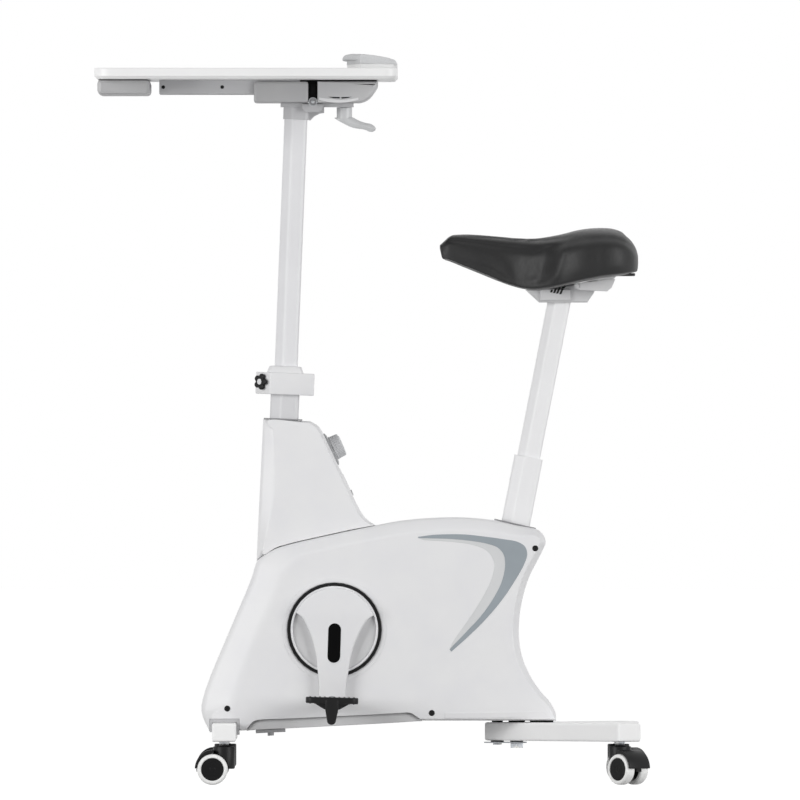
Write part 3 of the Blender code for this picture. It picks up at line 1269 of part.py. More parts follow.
def make_castor(name, place, yaw):
    """Twin-wheel castor: hood with its stem, and both wheels on their axle."""
    swivel = empty(name + "_swivel", (place[0], place[1], 0), (0, 0, yaw))
    centre = (-CASTOR_TRAIL, WHEEL_RADIUS)
    outer = arc((0, 0), 1.0, 0.0, 180.0, 12)
    shape = [(centre[0] + 0.0292 * x, centre[1] + 0.0318 * z) for x, z in outer]
    inner = arc(centre, WHEEL_RADIUS + 0.0016, 180.0, 0.0, 10)
    hood = side_prism(name + "_hood", [shape + inner], -0.0240, 0.0240, "black_plastic", swivel)
    web_shape = arc(centre, WHEEL_RADIUS + 0.0022, -20.0, 200.0, 8)
    web = side_prism(name + "_web", [web_shape], -0.0055, 0.0055, parent=swivel)
    body = cylinder(
        name + "_body", CASTOR_BODY, CASTOR_TOP - 0.026, (0, 0, (CASTOR_TOP + 0.026) / 2),
        parent=swivel, segments=16)
    well = prism(
        name + "_wheel_space", [arc((0, 0), WHEEL_RADIUS + 0.0018, 0.0, 330.0, 11)],
        0.0204, (centre[0], -0.0161, centre[1]), turn=(QUARTER, 0, 0), parent=swivel)
    far_well = prism(
        name + "_far_wheel_space", [arc((0, 0), WHEEL_RADIUS + 0.0018, 0.0, 330.0, 11)],
        0.0204, (centre[0], 0.0161, centre[1]), turn=(QUARTER, 0, 0), parent=swivel)
    cone = cylinder(
        name + "_cone", 0.0066, 0.0072, (0, 0, CASTOR_TOP + 0.0034), parent=swivel, top=0.0082,
        segments=12)
    stem = cylinder(
        name + "_stem", 0.0053, 0.0300, (0, 0, 0.0770), parent=swivel, segments=12)
    axle_hole = cylinder(
        name + "_axle_hole", 0.0044, 0.020, (centre[0], 0, centre[1]), turn=(QUARTER, 0, 0),
        parent=swivel, segments=12)
    cut(body, well, far_well)
    weld(hood, web, body, cone, stem)
    cut(hood, axle_hole)

    axis = empty(name + "_wheel_axis", (centre[0], 0, centre[1]), (0, 0, 0), swivel)
    half = [
        (0, WHEEL_HALF), (0.0225, WHEEL_HALF), (WHEEL_RADIUS, WHEEL_HALF - 0.0030),
        (WHEEL_RADIUS, WHEEL_INNER), (0.0040, WHEEL_INNER)]
    mirrored = [(radius, -height) for radius, height in reversed(half)]
    turned(
        name + "_wheels", half + mirrored, "tyre_white", turn=(QUARTER, 0, 0), parent=axis,
        steps=24)


def make_castors():
    """Four castors: two under the crossbar's ends and two under the rear legs."""
    for side, label in ((-1, "left"), (1, "right")):
        make_castor(f"front_castor_{label}", (CROSSBAR_X, side * FRONT_STEM_Y), 0.0)
        make_castor(f"rear_castor_{label}", rear_stem_place(side), REAR_CASTOR_YAW)


def main():
    """Build the bike from the floor frame up to the desk and the saddle."""
    make_base()
    make_legs()
    make_belly_plate()
    mast_frame = make_mast()
    seat_frame = make_seat()
    make_post_head(mast_frame)
    make_slide()
    make_desktop()
    make_casing(mast_frame, seat_frame)
    make_gaskets(mast_frame, seat_frame)
    make_rings()
    make_drive()
    make_crank()
    make_controls()
    make_bracket(seat_frame)
    make_saddle()
    make_castors()


main()
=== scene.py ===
"""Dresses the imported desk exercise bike: covers, padding, trim, finishes and a plain studio.

X runs from the desk to the saddle, Z is up, and the side seen by the camera is at -Y.
"""

import math

import bmesh
import bpy
import numpy as np
from bpy.props import FloatProperty, FloatVectorProperty, IntProperty, PointerProperty
from mathutils import Matrix, Vector


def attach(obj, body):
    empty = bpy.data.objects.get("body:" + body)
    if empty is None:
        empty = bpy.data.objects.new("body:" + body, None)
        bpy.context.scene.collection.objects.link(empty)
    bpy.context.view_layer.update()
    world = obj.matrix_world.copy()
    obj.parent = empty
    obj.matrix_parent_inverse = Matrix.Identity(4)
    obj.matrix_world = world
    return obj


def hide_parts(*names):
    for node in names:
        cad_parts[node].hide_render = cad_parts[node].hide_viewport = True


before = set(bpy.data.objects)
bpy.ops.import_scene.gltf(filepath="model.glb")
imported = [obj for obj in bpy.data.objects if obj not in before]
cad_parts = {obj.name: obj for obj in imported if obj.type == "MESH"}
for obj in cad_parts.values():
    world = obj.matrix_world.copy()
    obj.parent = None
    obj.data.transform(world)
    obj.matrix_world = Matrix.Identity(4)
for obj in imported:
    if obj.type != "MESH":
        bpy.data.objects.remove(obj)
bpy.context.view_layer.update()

bl_info = {
    "name": "Desk exercise bike",
    "version": (1, 0, 0),
    "blender": (4, 5, 0),
    "location": "3D View > Sidebar > Bike",
    "description": "Covers, padding, trim and finishes for a desk exercise bike, with a studio",
    "category": "Object",
}


# Colours and materials

def from_hex(text):
    """Linear colour of an sRGB hex value."""
    channels = [int(text[place:place + 2], 16) / 255.0 for place in (1, 3, 5)]
    linear = [c / 12.92 if c <= 0.04045 else ((c + 0.055) / 1.055) ** 2.4 for c in channels]
    return (*linear, 1.0)


def add_node(tree, kind, links=(), inputs=(), stops=(), **settings):
    """Add a node with its settings, input values, links and, on a ramp, its colour stops."""
    node = tree.nodes.new(kind)
    for name, value in settings.items():
        setattr(node, name, value)
    for index, (place, colour) in enumerate(stops):
        elements = node.color_ramp.elements
        stop = elements[index] if index < 2 else elements.new(place)
        stop.position, stop.color = place, from_hex(colour)
    for name, value in dict(inputs).items():
        node.inputs[name].default_value = value
    for name, source in dict(links).items():
        tree.links.new(source, node.inputs[name])
    return node


def new_material(name, colour, roughness, metallic=0.0, **sockets):
    """Material with a Principled shader whose plain values sit on its own sockets."""
    material = bpy.data.materials.new(name)
    material.use_nodes = True
    tree = material.node_tree
    shader = tree.nodes["Principled BSDF"]
    shader.inputs["Base Color"].default_value = from_hex(colour)
    shader.inputs["Roughness"].default_value = roughness
    shader.inputs["Metallic"].default_value = metallic
    for socket, value in sockets.items():
        shader.inputs[socket.replace("_", " ")].default_value = value
    material.diffuse_color = from_hex(colour)
    return material, tree, shader


def surface_place(tree, size_mm, stretch=(1.0, 1.0, 1.0)):
    """Object coordinates scaled so that one unit of a pattern is a size in millimetres."""
    coordinates = add_node(tree, "ShaderNodeTexCoord")
    scale = [1000.0 / size_mm * way for way in stretch]
    mapping = add_node(
        tree, "ShaderNodeMapping", {"Vector": coordinates.outputs["Object"]},
        {"Scale": scale})
    return mapping.outputs["Vector"]


def add_bump(tree, shader, height, depth_mm, edge_mm):
    """Bump of a real depth over edges softened to a real radius."""
    edge = add_node(
        tree, "ShaderNodeBevel", (), {"Radius": edge_mm / 1000.0}, samples=6)
    bump = add_node(
        tree, "ShaderNodeBump", {"Height": height, "Normal": edge.outputs["Normal"]},
        {"Strength": 1.0, "Distance": depth_mm / 1000.0})
    tree.links.new(bump.outputs["Normal"], shader.inputs["Normal"])


def clouded(name, colour, roughness, cloud_mm, stops, detail=2.0, metallic=0.0, **sockets):
    """Material whose colour drifts between stops in soft clouds of a real size.

    It comes with its tree, its shader and the clouds' value.
    """
    material, tree, shader = new_material(name, colour, roughness, metallic, **sockets)
    cloud = add_node(
        tree, "ShaderNodeTexNoise", {"Vector": surface_place(tree, cloud_mm)},
        {"Scale": 1.0, "Detail": detail})
    tone = add_node(
        tree, "ShaderNodeValToRGB", {"Fac": cloud.outputs["Fac"]}, stops=stops)
    tree.links.new(tone.outputs["Color"], shader.inputs["Base Color"])
    return material, tree, shader, cloud.outputs["Fac"]


def moulded(name, colour, shade, roughness, grain_mm=0.9, depth_mm=0.012, level=0.5):
    """Moulded plastic: a spark-eroded mould leaves a fine even grain and slightly uneven gloss."""
    material, tree, shader, _ = clouded(
        name, colour, roughness, 60.0, [(0.30, shade), (0.62, colour)], IOR=1.5,
        Specular_IOR_Level=level)
    grain = add_node(
        tree, "ShaderNodeTexNoise", {"Vector": surface_place(tree, grain_mm)},
        {"Scale": 1.0, "Detail": 3.0})
    gloss = add_node(
        tree, "ShaderNodeMapRange", {"Value": grain.outputs["Fac"]},
        {"From Min": 0.3, "From Max": 0.7, "To Min": roughness - 0.05, "To Max": roughness + 0.05})
    tree.links.new(gloss.outputs["Result"], shader.inputs["Roughness"])
    add_bump(tree, shader, grain.outputs["Fac"], depth_mm, 0.8)
    return material


def powder_coat(name, colour, shade):
    """Powder-coated steel: baked powder flows into soft orange peel, with a satin gloss."""
    material, tree, shader, _ = clouded(
        name, colour, 0.42, 90.0, [(0.32, shade), (0.60, colour)], IOR=1.5)
    peel = add_node(
        tree, "ShaderNodeTexNoise", {"Vector": surface_place(tree, 2.2)},
        {"Scale": 1.0, "Detail": 2.0, "Roughness": 0.4})
    add_bump(tree, shader, peel.outputs["Fac"], 0.03, 1.2)
    return material


def zinc_plate(name, colour="#aeb0b3"):
    """Zinc-plated steel: bright, with drawn lines and faint cloudy passivation."""
    material, tree, shader, _ = clouded(
        name, colour, 0.34, 9.0, [(0.30, "#a2a5a9"), (0.55, colour), (0.75, "#b8b7b2")],
        metallic=1.0)
    lines = add_node(
        tree, "ShaderNodeTexNoise", {"Vector": surface_place(tree, 0.8, (1.0, 1.0, 0.05))},
        {"Scale": 1.0, "Detail": 4.0})
    gloss = add_node(
        tree, "ShaderNodeMapRange", {"Value": lines.outputs["Fac"]},
        {"To Min": 0.24, "To Max": 0.46})
    tree.links.new(gloss.outputs["Result"], shader.inputs["Roughness"])
    add_bump(tree, shader, lines.outputs["Fac"], 0.01, 0.5)
    return material


def laminated_board(name, colour):
    """Melamine-faced board with a soft white edge band: a fine pearl-like hammer in the face."""
    material, tree, shader, _ = clouded(
        name, colour, 0.38, 120.0, [(0.30, "#efefef"), (0.62, colour)], IOR=1.5)
    pearl = add_node(
        tree, "ShaderNodeTexVoronoi", {"Vector": surface_place(tree, 1.4)}, {"Scale": 1.0})
    add_bump(tree, shader, pearl.outputs["Distance"], 0.012, 1.0)
    return material


def synthetic_leather(name, colour, crease, gloss, pore_mm=1.3, depth_mm=0.16, level=0.5,
                      sheen=0.0):
    """Stretched synthetic leather: embossed pebbles with fine pores, glossier on the pebbles."""
    material, tree, shader = new_material(
        name, colour, gloss, IOR=1.5, Specular_IOR_Level=level, Sheen_Weight=sheen,
        Sheen_Roughness=0.30)
    place = surface_place(tree, pore_mm)
    wander = add_node(
        tree, "ShaderNodeTexNoise", {"Vector": place}, {"Scale": 0.8, "Detail": 2.0})
    shifted = add_node(
        tree, "ShaderNodeMixRGB", {"Color1": place, "Color2": wander.outputs["Color"]},
        {"Fac": 0.22})
    pebbles = add_node(
        tree, "ShaderNodeTexVoronoi", {"Vector": shifted.outputs["Color"]}, {"Scale": 1.0},
        feature="DISTANCE_TO_EDGE")
    height = add_node(
        tree, "ShaderNodeMapRange", {"Value": pebbles.outputs["Distance"]},
        {"From Min": 0.0, "From Max": 0.22, "To Min": 0.0, "To Max": 1.0},
        interpolation_type="SMOOTHSTEP")
    tone = add_node(
        tree, "ShaderNodeValToRGB", {"Fac": height.outputs["Result"]},
        stops=[(0.0, crease), (0.7, colour)])
    tree.links.new(tone.outputs["Color"], shader.inputs["Base Color"])
    shine = add_node(
        tree, "ShaderNodeMapRange", {"Value": height.outputs["Result"]},
        {"To Min": gloss + 0.16, "To Max": gloss})
    tree.links.new(shine.outputs["Result"], shader.inputs["Roughness"])
    bump = add_node(
        tree, "ShaderNodeBump", {"Height": height.outputs["Result"]},
        {"Strength": 0.6, "Distance": depth_mm / 1000.0})
    tree.links.new(bump.outputs["Normal"], shader.inputs["Normal"])
    return material


def polyurethane_tread(name):
    """Cast polyurethane tread: smooth and milky, scuffed grey where it has rolled."""
    material, tree, shader, scuff = clouded(
        name, "#f6f6f5", 0.45, 5.0, [(0.33, "#f0f0ef"), (0.55, "#fafaf9")], 6.0, IOR=1.5)
    add_bump(tree, shader, scuff, 0.02, 0.6)
    return material


def cast_rubber(name, rib_mm=0.0):
    """Moulded rubber: matt, faintly mottled, with ribs where a rib spacing is given."""
    material, tree, shader, height = clouded(
        name, "#1d1d1e", 0.72, 1.6, [(0.35, "#161617"), (0.7, "#242425")], 5.0, IOR=1.5)
    if rib_mm > 0.0:
        ribs = add_node(
            tree, "ShaderNodeTexWave", {"Vector": surface_place(tree, rib_mm * 2 * math.pi)},
            {"Scale": 1.0}, bands_direction="Y")
        height = ribs.outputs["Fac"]
    add_bump(tree, shader, height, 0.5 if rib_mm > 0.0 else 0.05, 0.4)
    return material


FINISHES = {}


def as_hex(colour):
    """sRGB hex value of a linear colour."""
    gamma = [c * 12.92 if c <= 0.0031308 else 1.055 * c ** (1 / 2.4) - 0.055 for c in colour]
    return "#%02x%02x%02x" % tuple(round(255 * c) for c in gamma)


def make_finishes(settings):
    """Make each finish once, under the plain name that the pieces ask for."""
    FINISHES.update({
        "white_cover": moulded("ABS moulded white", as_hex(settings.cover), "#e6e6e8", 0.44),
        "white_trim": moulded("ABS moulded white trim", "#e6e6e7", "#e2e2e4", 0.40),
        "grey_cover": moulded("ABS moulded grey", "#b6b6b7", "#b1b1b3", 0.50),
        "housing_grey": moulded("ABS moulded housing grey", "#c3c3c4", "#bfbfc1", 0.50),
        "pale_grey": moulded("ABS moulded pale grey", "#cfcfd0", "#c6c6c8", 0.42),
        "knob_grey": moulded("ABS moulded knob grey", "#c6c7c9", "#bebfc1", 0.40),
        "accent_grey": moulded(
            "Painted accent blue grey", as_hex(settings.accent), "#949ca2", 0.36, 0.6, 0.006),
        "black_plastic": moulded(
            "Polypropylene moulded black", "#131314", "#101011", 0.40, level=0.18),
        "black_gloss": moulded(
            "Acrylic domed black", "#060606", "#040405", 0.16, 3.0, 0.002, level=0.05),
        "hub_black": moulded("Nylon moulded dark hub", "#0f0f10", "#0c0c0d", 0.34, level=0.14),
        # Darker copy of the cover's white for the crank dishes: painted shade in the recess.
        "dish_white_painted_shade": moulded("ABS moulded white dish painted shade", "#d0d0d1", "#cdcdce", 0.5),
        # Darker copy of the cover's white for the wall of the foot recess: painted shade.
        "tuck_white_painted_shade": moulded("ABS moulded white recess painted shade", "#cfcfd0", "#cbcbcc", 0.5),
        "accent_pale": moulded("Painted accent pale", "#d6d7d8", "#d3d4d5", 0.44),
        # Grey for the rubber gaskets, partly a painted shadow line at the rims, and painted shade
        # in the pivot wells and on the belly pad.
        "grey_gasket_and_painted_shade": moulded("ABS moulded grey gasket and painted shade", "#8e8e90", "#88888a", 0.6),
        "knob_shade": moulded("ABS moulded knob base", "#a2a3a5", "#9c9d9f", 0.45),
        "lever_grey": moulded("ABS moulded lever grey", "#d2d3d4", "#cecfd1", 0.36),
        "white_paint": powder_coat("Steel powder coated white", "#e5e5e7", "#e2e2e4"),
        # Lighter copy of the white powder coat for the legs and crossbar: painted light.
        "leg_paint_painted_light": powder_coat(
            "Steel powder coated legs painted light", as_hex(settings.paint), "#f8f8f8"),
        # Lighter copy of the white powder coat for the seat tubes: painted light.
        "post_paint_painted_light": powder_coat("Steel powder coated post painted light", "#eeeeef", "#ebebec"),
        # Darker copy of the white powder coat for the outer mast tube and belly plate: painted
        # shade.
        "sleeve_paint_painted_shade": powder_coat("Steel powder coated sleeve painted shade", "#d6d6d8", "#d4d4d6"),
        # Darker copy of the white powder coat for the post head and its lug: painted shade under
        # the desk.
        "head_paint_painted_shade": powder_coat("Steel powder coated head painted shade", "#c6c6c8", "#c2c2c4"),
        # Grey for the front channel, darkened further with painted shade.
        "channel_grey_and_painted_shade": powder_coat("Steel powder coated channel grey and painted shade", "#bebec0", "#b9b9bb"),
        "rail_paint": powder_coat("Steel powder coated rail", "#c8c8ca", "#c4c4c6"),
        "zinc": zinc_plate("Steel zinc plated"),
        "dull_zinc": zinc_plate("Steel zinc plated dull", "#85878a"),
        "board": laminated_board("Board melamine faced", as_hex(settings.board)),
        "saddle_leather": synthetic_leather(
            "PU leather stretched black", as_hex(settings.saddle), "#090909", 0.36, level=0.34,
            sheen=0.2),
        "rest_leather": synthetic_leather(
            "PU skin foam grey", as_hex(settings.rest), "#c6c7c9", 0.52, 0.9, 0.05),
        "tread": polyurethane_tread("Polyurethane cast white"),
        "rubber": cast_rubber("Rubber moulded dark"),
        "belt": cast_rubber("Rubber belt ribbed", rib_mm=2.3),
    })


# Curves and surfaces

SHARP = 35.0
SIDES = ((-1, "left"), (1, "right"))


def at(place, turn=0.0, axis="Y"):
    """Matrix that turns about an axis and then moves to a place."""
    return Matrix.Translation(place) @ Matrix.Rotation(turn, 4, axis)


def spline(points, count):
    """Centripetal Catmull-Rom curve through points, sampled evenly in its own parameter.

    Each span is the cubic whose ends have the slopes of the chords round them, each chord
    measured by the square root of its length.
    """
    rows = np.asarray(points, dtype=float)
    rows = np.vstack([2 * rows[0] - rows[1], rows, 2 * rows[-1] - rows[-2]])
    knots = np.sqrt(np.maximum(np.linalg.norm(np.diff(rows, axis=0), axis=1), 1e-9))
    spans = len(rows) - 3
    place = np.linspace(0.0, spans, count)
    index = np.minimum(place.astype(int), spans - 1)
    t = (place - index)[:, None]
    p0, p1, p2, p3 = (rows[index + step] for step in range(4))
    d0, d1, d2 = (knots[index + step][:, None] for step in range(3))
    m1 = ((p1 - p0) / d0 - (p2 - p0) / (d0 + d1) + (p2 - p1) / d1) * d1
    m2 = ((p2 - p1) / d1 - (p3 - p1) / (d1 + d2) + (p3 - p2) / d2) * d1
    return (
        (2 * t ** 3 - 3 * t ** 2 + 1) * p1 + (t ** 3 - 2 * t ** 2 + t) * m1
        + (3 * t ** 2 - 2 * t ** 3) * p2 + (t ** 3 - t ** 2) * m2)


def arc(centre, radius, start, end, count):
    """Points on an arc in a plane, angles in degrees: centre plus radius times cos and sin."""
    angles = np.radians(np.linspace(start, end, count))
    return np.column_stack([
        centre[0] + radius * np.cos(angles), centre[1] + radius * np.sin(angles)])


def smooth_step(value, low, high):
    """0 below low and 1 above high, with a soft cubic rise between."""
    share = np.clip((value - low) / (high - low), 0.0, 1.0)
    return share * share * (3.0 - 2.0 * share)


def grid_faces(rows, columns, close_columns):
    """Quads of a grid of points numbered row by row."""
    row = np.arange(rows - 1)
    column = np.arange(columns if close_columns else columns - 1)
    a, b = np.meshgrid(row, column, indexing="ij")
    a, b = a.ravel(), b.ravel()
    a_next, b_next = (a + 1) % rows, (b + 1) % columns
    return np.column_stack([
        a * columns + b, a * columns + b_next, a_next * columns + b_next, a_next * columns + b])


def surface(name, grid, close_columns=True, capped=False, sharp=None):
    """Piece made from a grid of points, with flat caps on its first and last rows if asked."""
    grid = np.asarray(grid, dtype=float)
    rows, columns = grid.shape[:2]
    faces = grid_faces(rows, columns, close_columns).tolist()
    if capped:
        faces.append(list(range(columns - 1, -1, -1)))
        faces.append(list(range((rows - 1) * columns, rows * columns)))
    return mesh_piece(name, grid.reshape(-1, 3), faces, sharp)


def in_scene(name, data):
    """Object of a name with its data, linked to the scene."""
    holder = bpy.data.objects.new(name, data)
    bpy.context.scene.collection.objects.link(holder)
    return holder


def mesh_piece(name, points, faces, sharp):
    """Object at the origin from points and faces, its doubles merged and normals outwards."""
    data = bpy.data.meshes.new(name)
    data.from_pydata(np.asarray(points, dtype=float).tolist(), [], faces)
    shape = bmesh.new()
    shape.from_mesh(data)
    bmesh.ops.remove_doubles(shape, verts=shape.verts, dist=0.00001)
    bmesh.ops.recalc_face_normals(shape, faces=shape.faces)
    shape.to_mesh(data)
    shape.free()
    data.shade_smooth()
    if sharp is not None:
        data.set_sharp_from_angle(angle=math.radians(sharp))
    return in_scene(name, data)


def lathe(name, profile, count=64):
    """Profile of radius and height turned round Z: each point becomes a ring of radius r."""
    profile = np.asarray(profile, dtype=float)
    angles = np.linspace(0.0, 2 * np.pi, count, endpoint=False)
    grid = np.stack([
        profile[:, :1] * np.cos(angles), profile[:, :1] * np.sin(angles),
        np.repeat(profile[:, 1:2], count, axis=1)], axis=-1)
    return surface(name, grid, sharp=SHARP)


def drum(name, radius, low, high, count):
    """Short turned shape of one radius between two heights, for cutting and for shafts."""
    return lathe(name, [(0.0, low), (radius, low), (radius, high), (0.0, high)], count)


def placed(piece, matrix):
    """Move a piece's mesh, so that the object itself stays at the origin."""
    piece.data.transform(matrix)
    return piece


def joined(name, pieces):
    """Make several meshes one piece."""
    shape = bmesh.new()
    for piece in pieces:
        shape.from_mesh(piece.data)
        bpy.data.objects.remove(piece)
    data = bpy.data.meshes.new(name)
    shape.to_mesh(data)
    shape.free()
    data.shade_smooth()
    data.set_sharp_from_angle(angle=math.radians(SHARP))
    return in_scene(name, data)


def dress(piece, finish, body, slot, *nodes):
    """Give a piece its finish and body, and hide the CAD nodes that it stands for; the slot is not
    used.
    """
    piece.data.materials.clear()
    piece.data.materials.append(FINISHES[finish])
    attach(piece, body)
    if nodes:
        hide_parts(*nodes)
    return piece


def extruded(name, outline, low, high):
    """Solid between two Y values over an outline in X and Z: the outline swept along Y."""
    outline = np.asarray(outline, dtype=float)
    rows = [
        np.column_stack([outline[:, 0], np.full(len(outline), y), outline[:, 1]])
        for y in (low, high)]
    return surface(name, rows, capped=True, sharp=SHARP)


# Body and neck covers

HALF = 0.072
EDGE = 0.020
SEAM = 0.00015
NECK_HALF = 0.050
NECK_EDGE = 0.014
NECK_TAPER = 0.16
NECK_FOOT = 0.3671
NECK_HEIGHT = 0.2370
NECK_GAP = 0.0002
NECK_SEAM_BEVEL = 0.0012
PANEL_REACH = 1.12

MAST_LEAN = math.radians(2.256)
DISPLAY_PLACE = (-0.0410, 0.0, 0.4935)
DISPLAY_LEAN = math.radians(65.3)
SEAT_LEAN = math.radians(11.1)
CROSSBAR_X = -0.24495
NOTCH_HALF = 0.0247
CRANK = (-0.0634, 0.2544)

SEAM_LINE = [
    (-0.1912, 0.3671, 0.050, 0.0), (-0.1799, 0.3774, 0.040, 0.020),
    (-0.1597, 0.3887, 0.0284, 0.0267), (-0.1345, 0.3963, 0.0221, 0.0215),
    (-0.0965, 0.4051, 0.0225, 0.012), (-0.0333, 0.4189, 0.022, 0.004),
    (0.0045, 0.4265, 0.022, 0.0)]


def body_runs():
    """Controls of the body seen from the side, one list a smooth run.

    A control is X, Z, the bevel's width there and, where it isn't nothing, how far the
    panel's edge is moved on along the rim.
    """
    front = [
        (-0.2693, 0.0850, 0.004), (-0.2808, 0.1099, 0.020), (-0.2833, 0.1262, 0.038),
        (-0.2797, 0.1447, 0.050), (-0.2704, 0.1724, 0.050), (-0.2369, 0.2530, 0.046),
        (-0.2013, 0.3374, 0.049)]
    top = [
        (0.0450, 0.4340, 0.022), (0.0995, 0.4389, 0.022), (0.1539, 0.4394, 0.021),
        (0.2036, 0.4344, 0.020), (0.2390, 0.4266, 0.018), (0.2739, 0.4188, 0.012),
        (0.2830, 0.4092, 0.010), (0.2858, 0.3983, 0.009)]
    rear = [
        (0.2817, 0.3874, 0.009), (0.2584, 0.3409, 0.010), (0.2475, 0.3053, 0.010),
        (0.2419, 0.2670, 0.010), (0.2426, 0.2315, 0.010), (0.2488, 0.2041, 0.010),
        (0.2610, 0.1767, 0.008), (0.2775, 0.1521, 0.007), (0.2939, 0.1330, 0.006),
        (0.3021, 0.1167, 0.005), (0.3034, 0.1040, 0.003)]
    foot = [(0.3034, 0.1040, 0.003), (0.0813, 0.1040, 0.003)]
    rise = [(0.0813, 0.1040, 0.003), (0.0450, 0.1011, 0.003), (-0.1398, 0.0914, 0.003),
            (-0.2219, 0.0873, 0.003), (-0.2693, 0.0850, 0.004)]
    return [front + SEAM_LINE + top + rear, foot, rise]


def neck_runs():
    """Controls of the neck: its front, its top, the crown and slope at the back, its seam."""
    front = [(-0.1922, 0.3674, 0.026), (-0.1867, 0.4850, 0.025), (-0.1812, 0.6020, 0.024)]
    top = [(-0.1812, 0.6020, 0.024), (-0.1750, 0.6018, 0.003), (-0.1041, 0.5990, 0.003)]
    back = [
        (-0.1041, 0.5990, 0.003), (-0.0916, 0.5920, 0.004), (-0.0840, 0.5820, 0.005),
        (-0.0813, 0.5768, 0.005), (-0.0561, 0.5239, 0.005), (-0.0436, 0.4985, 0.005),
        (-0.0259, 0.4607, 0.005), (-0.0157, 0.4430, 0.005), (-0.0056, 0.4330, 0.004),
        (0.0045, 0.4270, 0.003)]
    seam = [(row[0], row[1] + NECK_GAP, NECK_SEAM_BEVEL) for row in reversed(SEAM_LINE)]
    return [front, top, back, seam]


def casing_lines(runs, spacing):
    """Rim and panel edge of a cover, both smooth curves through matching controls.

    A control's place on the panel edge is set in from the rim along the line that halves
    the angle between the rim's two sides there.
    """
    rows = np.array([(*row, 0.0)[:4] for run in runs for row in run[:-1]])
    ahead = np.roll(rows[:, :2], -1, axis=0) - rows[:, :2]
    ahead /= np.linalg.norm(ahead, axis=1)[:, None]
    along = ahead + np.roll(ahead, 1, axis=0)
    along /= np.linalg.norm(along, axis=1)[:, None]
    inward = np.column_stack([along[:, 1], -along[:, 0]])
    panel = rows[:, :2] + inward * rows[:, 2:3] + along * rows[:, 3:4]
    both = np.hstack([rows[:, :2], panel])
    lines = []
    start = 0
    for run in runs:
        index = (start + np.arange(len(run))) % len(both)
        length = np.linalg.norm(np.diff(both[index, :2], axis=0), axis=1).sum()
        count = max(int(length / spacing), len(run)) + 1
        controls = both[index]
        curve = spline(controls, count) if len(run) > 2 else np.linspace(*controls, count)
        lines.append(curve[:-1])
        start += len(run) - 1
    lines = np.vstack(lines)
    return lines[:, :2], lines[:, 2:]


def bevel_path(edge):
    """Section of the bevel from the rim to the panel as share inwards and depth outwards.

    A straight chamfer whose two corners are rounded: each corner is a quadratic curve
    whose middle control is the corner itself.
    """
    t = np.linspace(0.0, 1.0, 9)[:, None]
    bends = np.array([
        [[0.0, -0.30], [0.0, 0.06], [0.22, 0.32]],
        [[0.80, 0.86], [0.96, 1.0], [PANEL_REACH, 1.0]]])
    path = np.vstack([
        (1 - t) ** 2 * start + 2 * t * (1 - t) * corner + t ** 2 * end
        for start, corner, end in bends])
    return path[:, 0] / path[-1, 0], path[:, 1] * edge


def relief(name, runs, section, spacing, width=np.ones_like, wall=0.0):
    """Closed shape over an outline seen from the side.

    The section lists share and Y: a point is rim plus share times the way to the panel
    edge, at the section's Y times how much the shape narrows at that height.
    """
    rim, panel = casing_lines(runs, spacing)
    inward = panel - rim
    inward /= np.linalg.norm(inward, axis=1)[:, None]
    rim = rim + inward * wall
    panel = panel + inward * wall / 2
    section = np.asarray(section, dtype=float)
    flat = rim + (panel - rim) * section[:, :1, None]
    y = section[:, 1:] * width(flat[:, :, 1])
    grid = np.stack([flat[:, :, 0], y, flat[:, :, 1]], axis=-1)
    return surface(name, grid, capped=True, sharp=38.0)


def cover_section(side, half, edge, wall=0.0):
    """Section of a cover from the seam out to its panel; the space inside crosses the seam."""
    share, rise = bevel_path(edge)
    start = -0.002 if wall else SEAM
    return [(0.0, side * start)] + [
        (PANEL_REACH * part, side * (half - wall - edge + depth))
        for part, depth in zip(share, rise)]


def applied(piece):
    """Turn a piece's modifiers into its mesh."""
    graph = bpy.context.evaluated_depsgraph_get()
    mesh = bpy.data.meshes.new_from_object(piece.evaluated_get(graph))
    piece.modifiers.clear()
    piece.data = mesh
    return piece


def cut_with(piece, *tools):
    """Take closed shapes away from a piece."""
    for tool in tools:
        modifier = piece.modifiers.new("cut", "BOOLEAN")
        modifier.operation = "DIFFERENCE"
        modifier.object = tool
        modifier.solver = "EXACT"
    return applied(piece)


def remove(*pieces):
    """Delete shapes that only helped to make others."""
    for piece in pieces:
        bpy.data.objects.remove(piece)


def slab(name, low, high):
    """Closed box between two corners, for cutting."""
    outline = [(low[0], low[2]), (high[0], low[2]), (high[0], high[2]), (low[0], high[2])]
    return extruded(name, outline, low[1], high[1])


def slanted_slab(name, place, size, turn):
    """Closed box of a size round a place, turned about Y, for cutting."""
    half = np.array(size) / 2
    shape = slab(name, -half, half)
    return placed(shape, at(place, turn))


def neck_width(height):
    """The neck narrows evenly from its foot to its top."""
    return 1.0 - NECK_TAPER * (height - NECK_FOOT) / NECK_HEIGHT


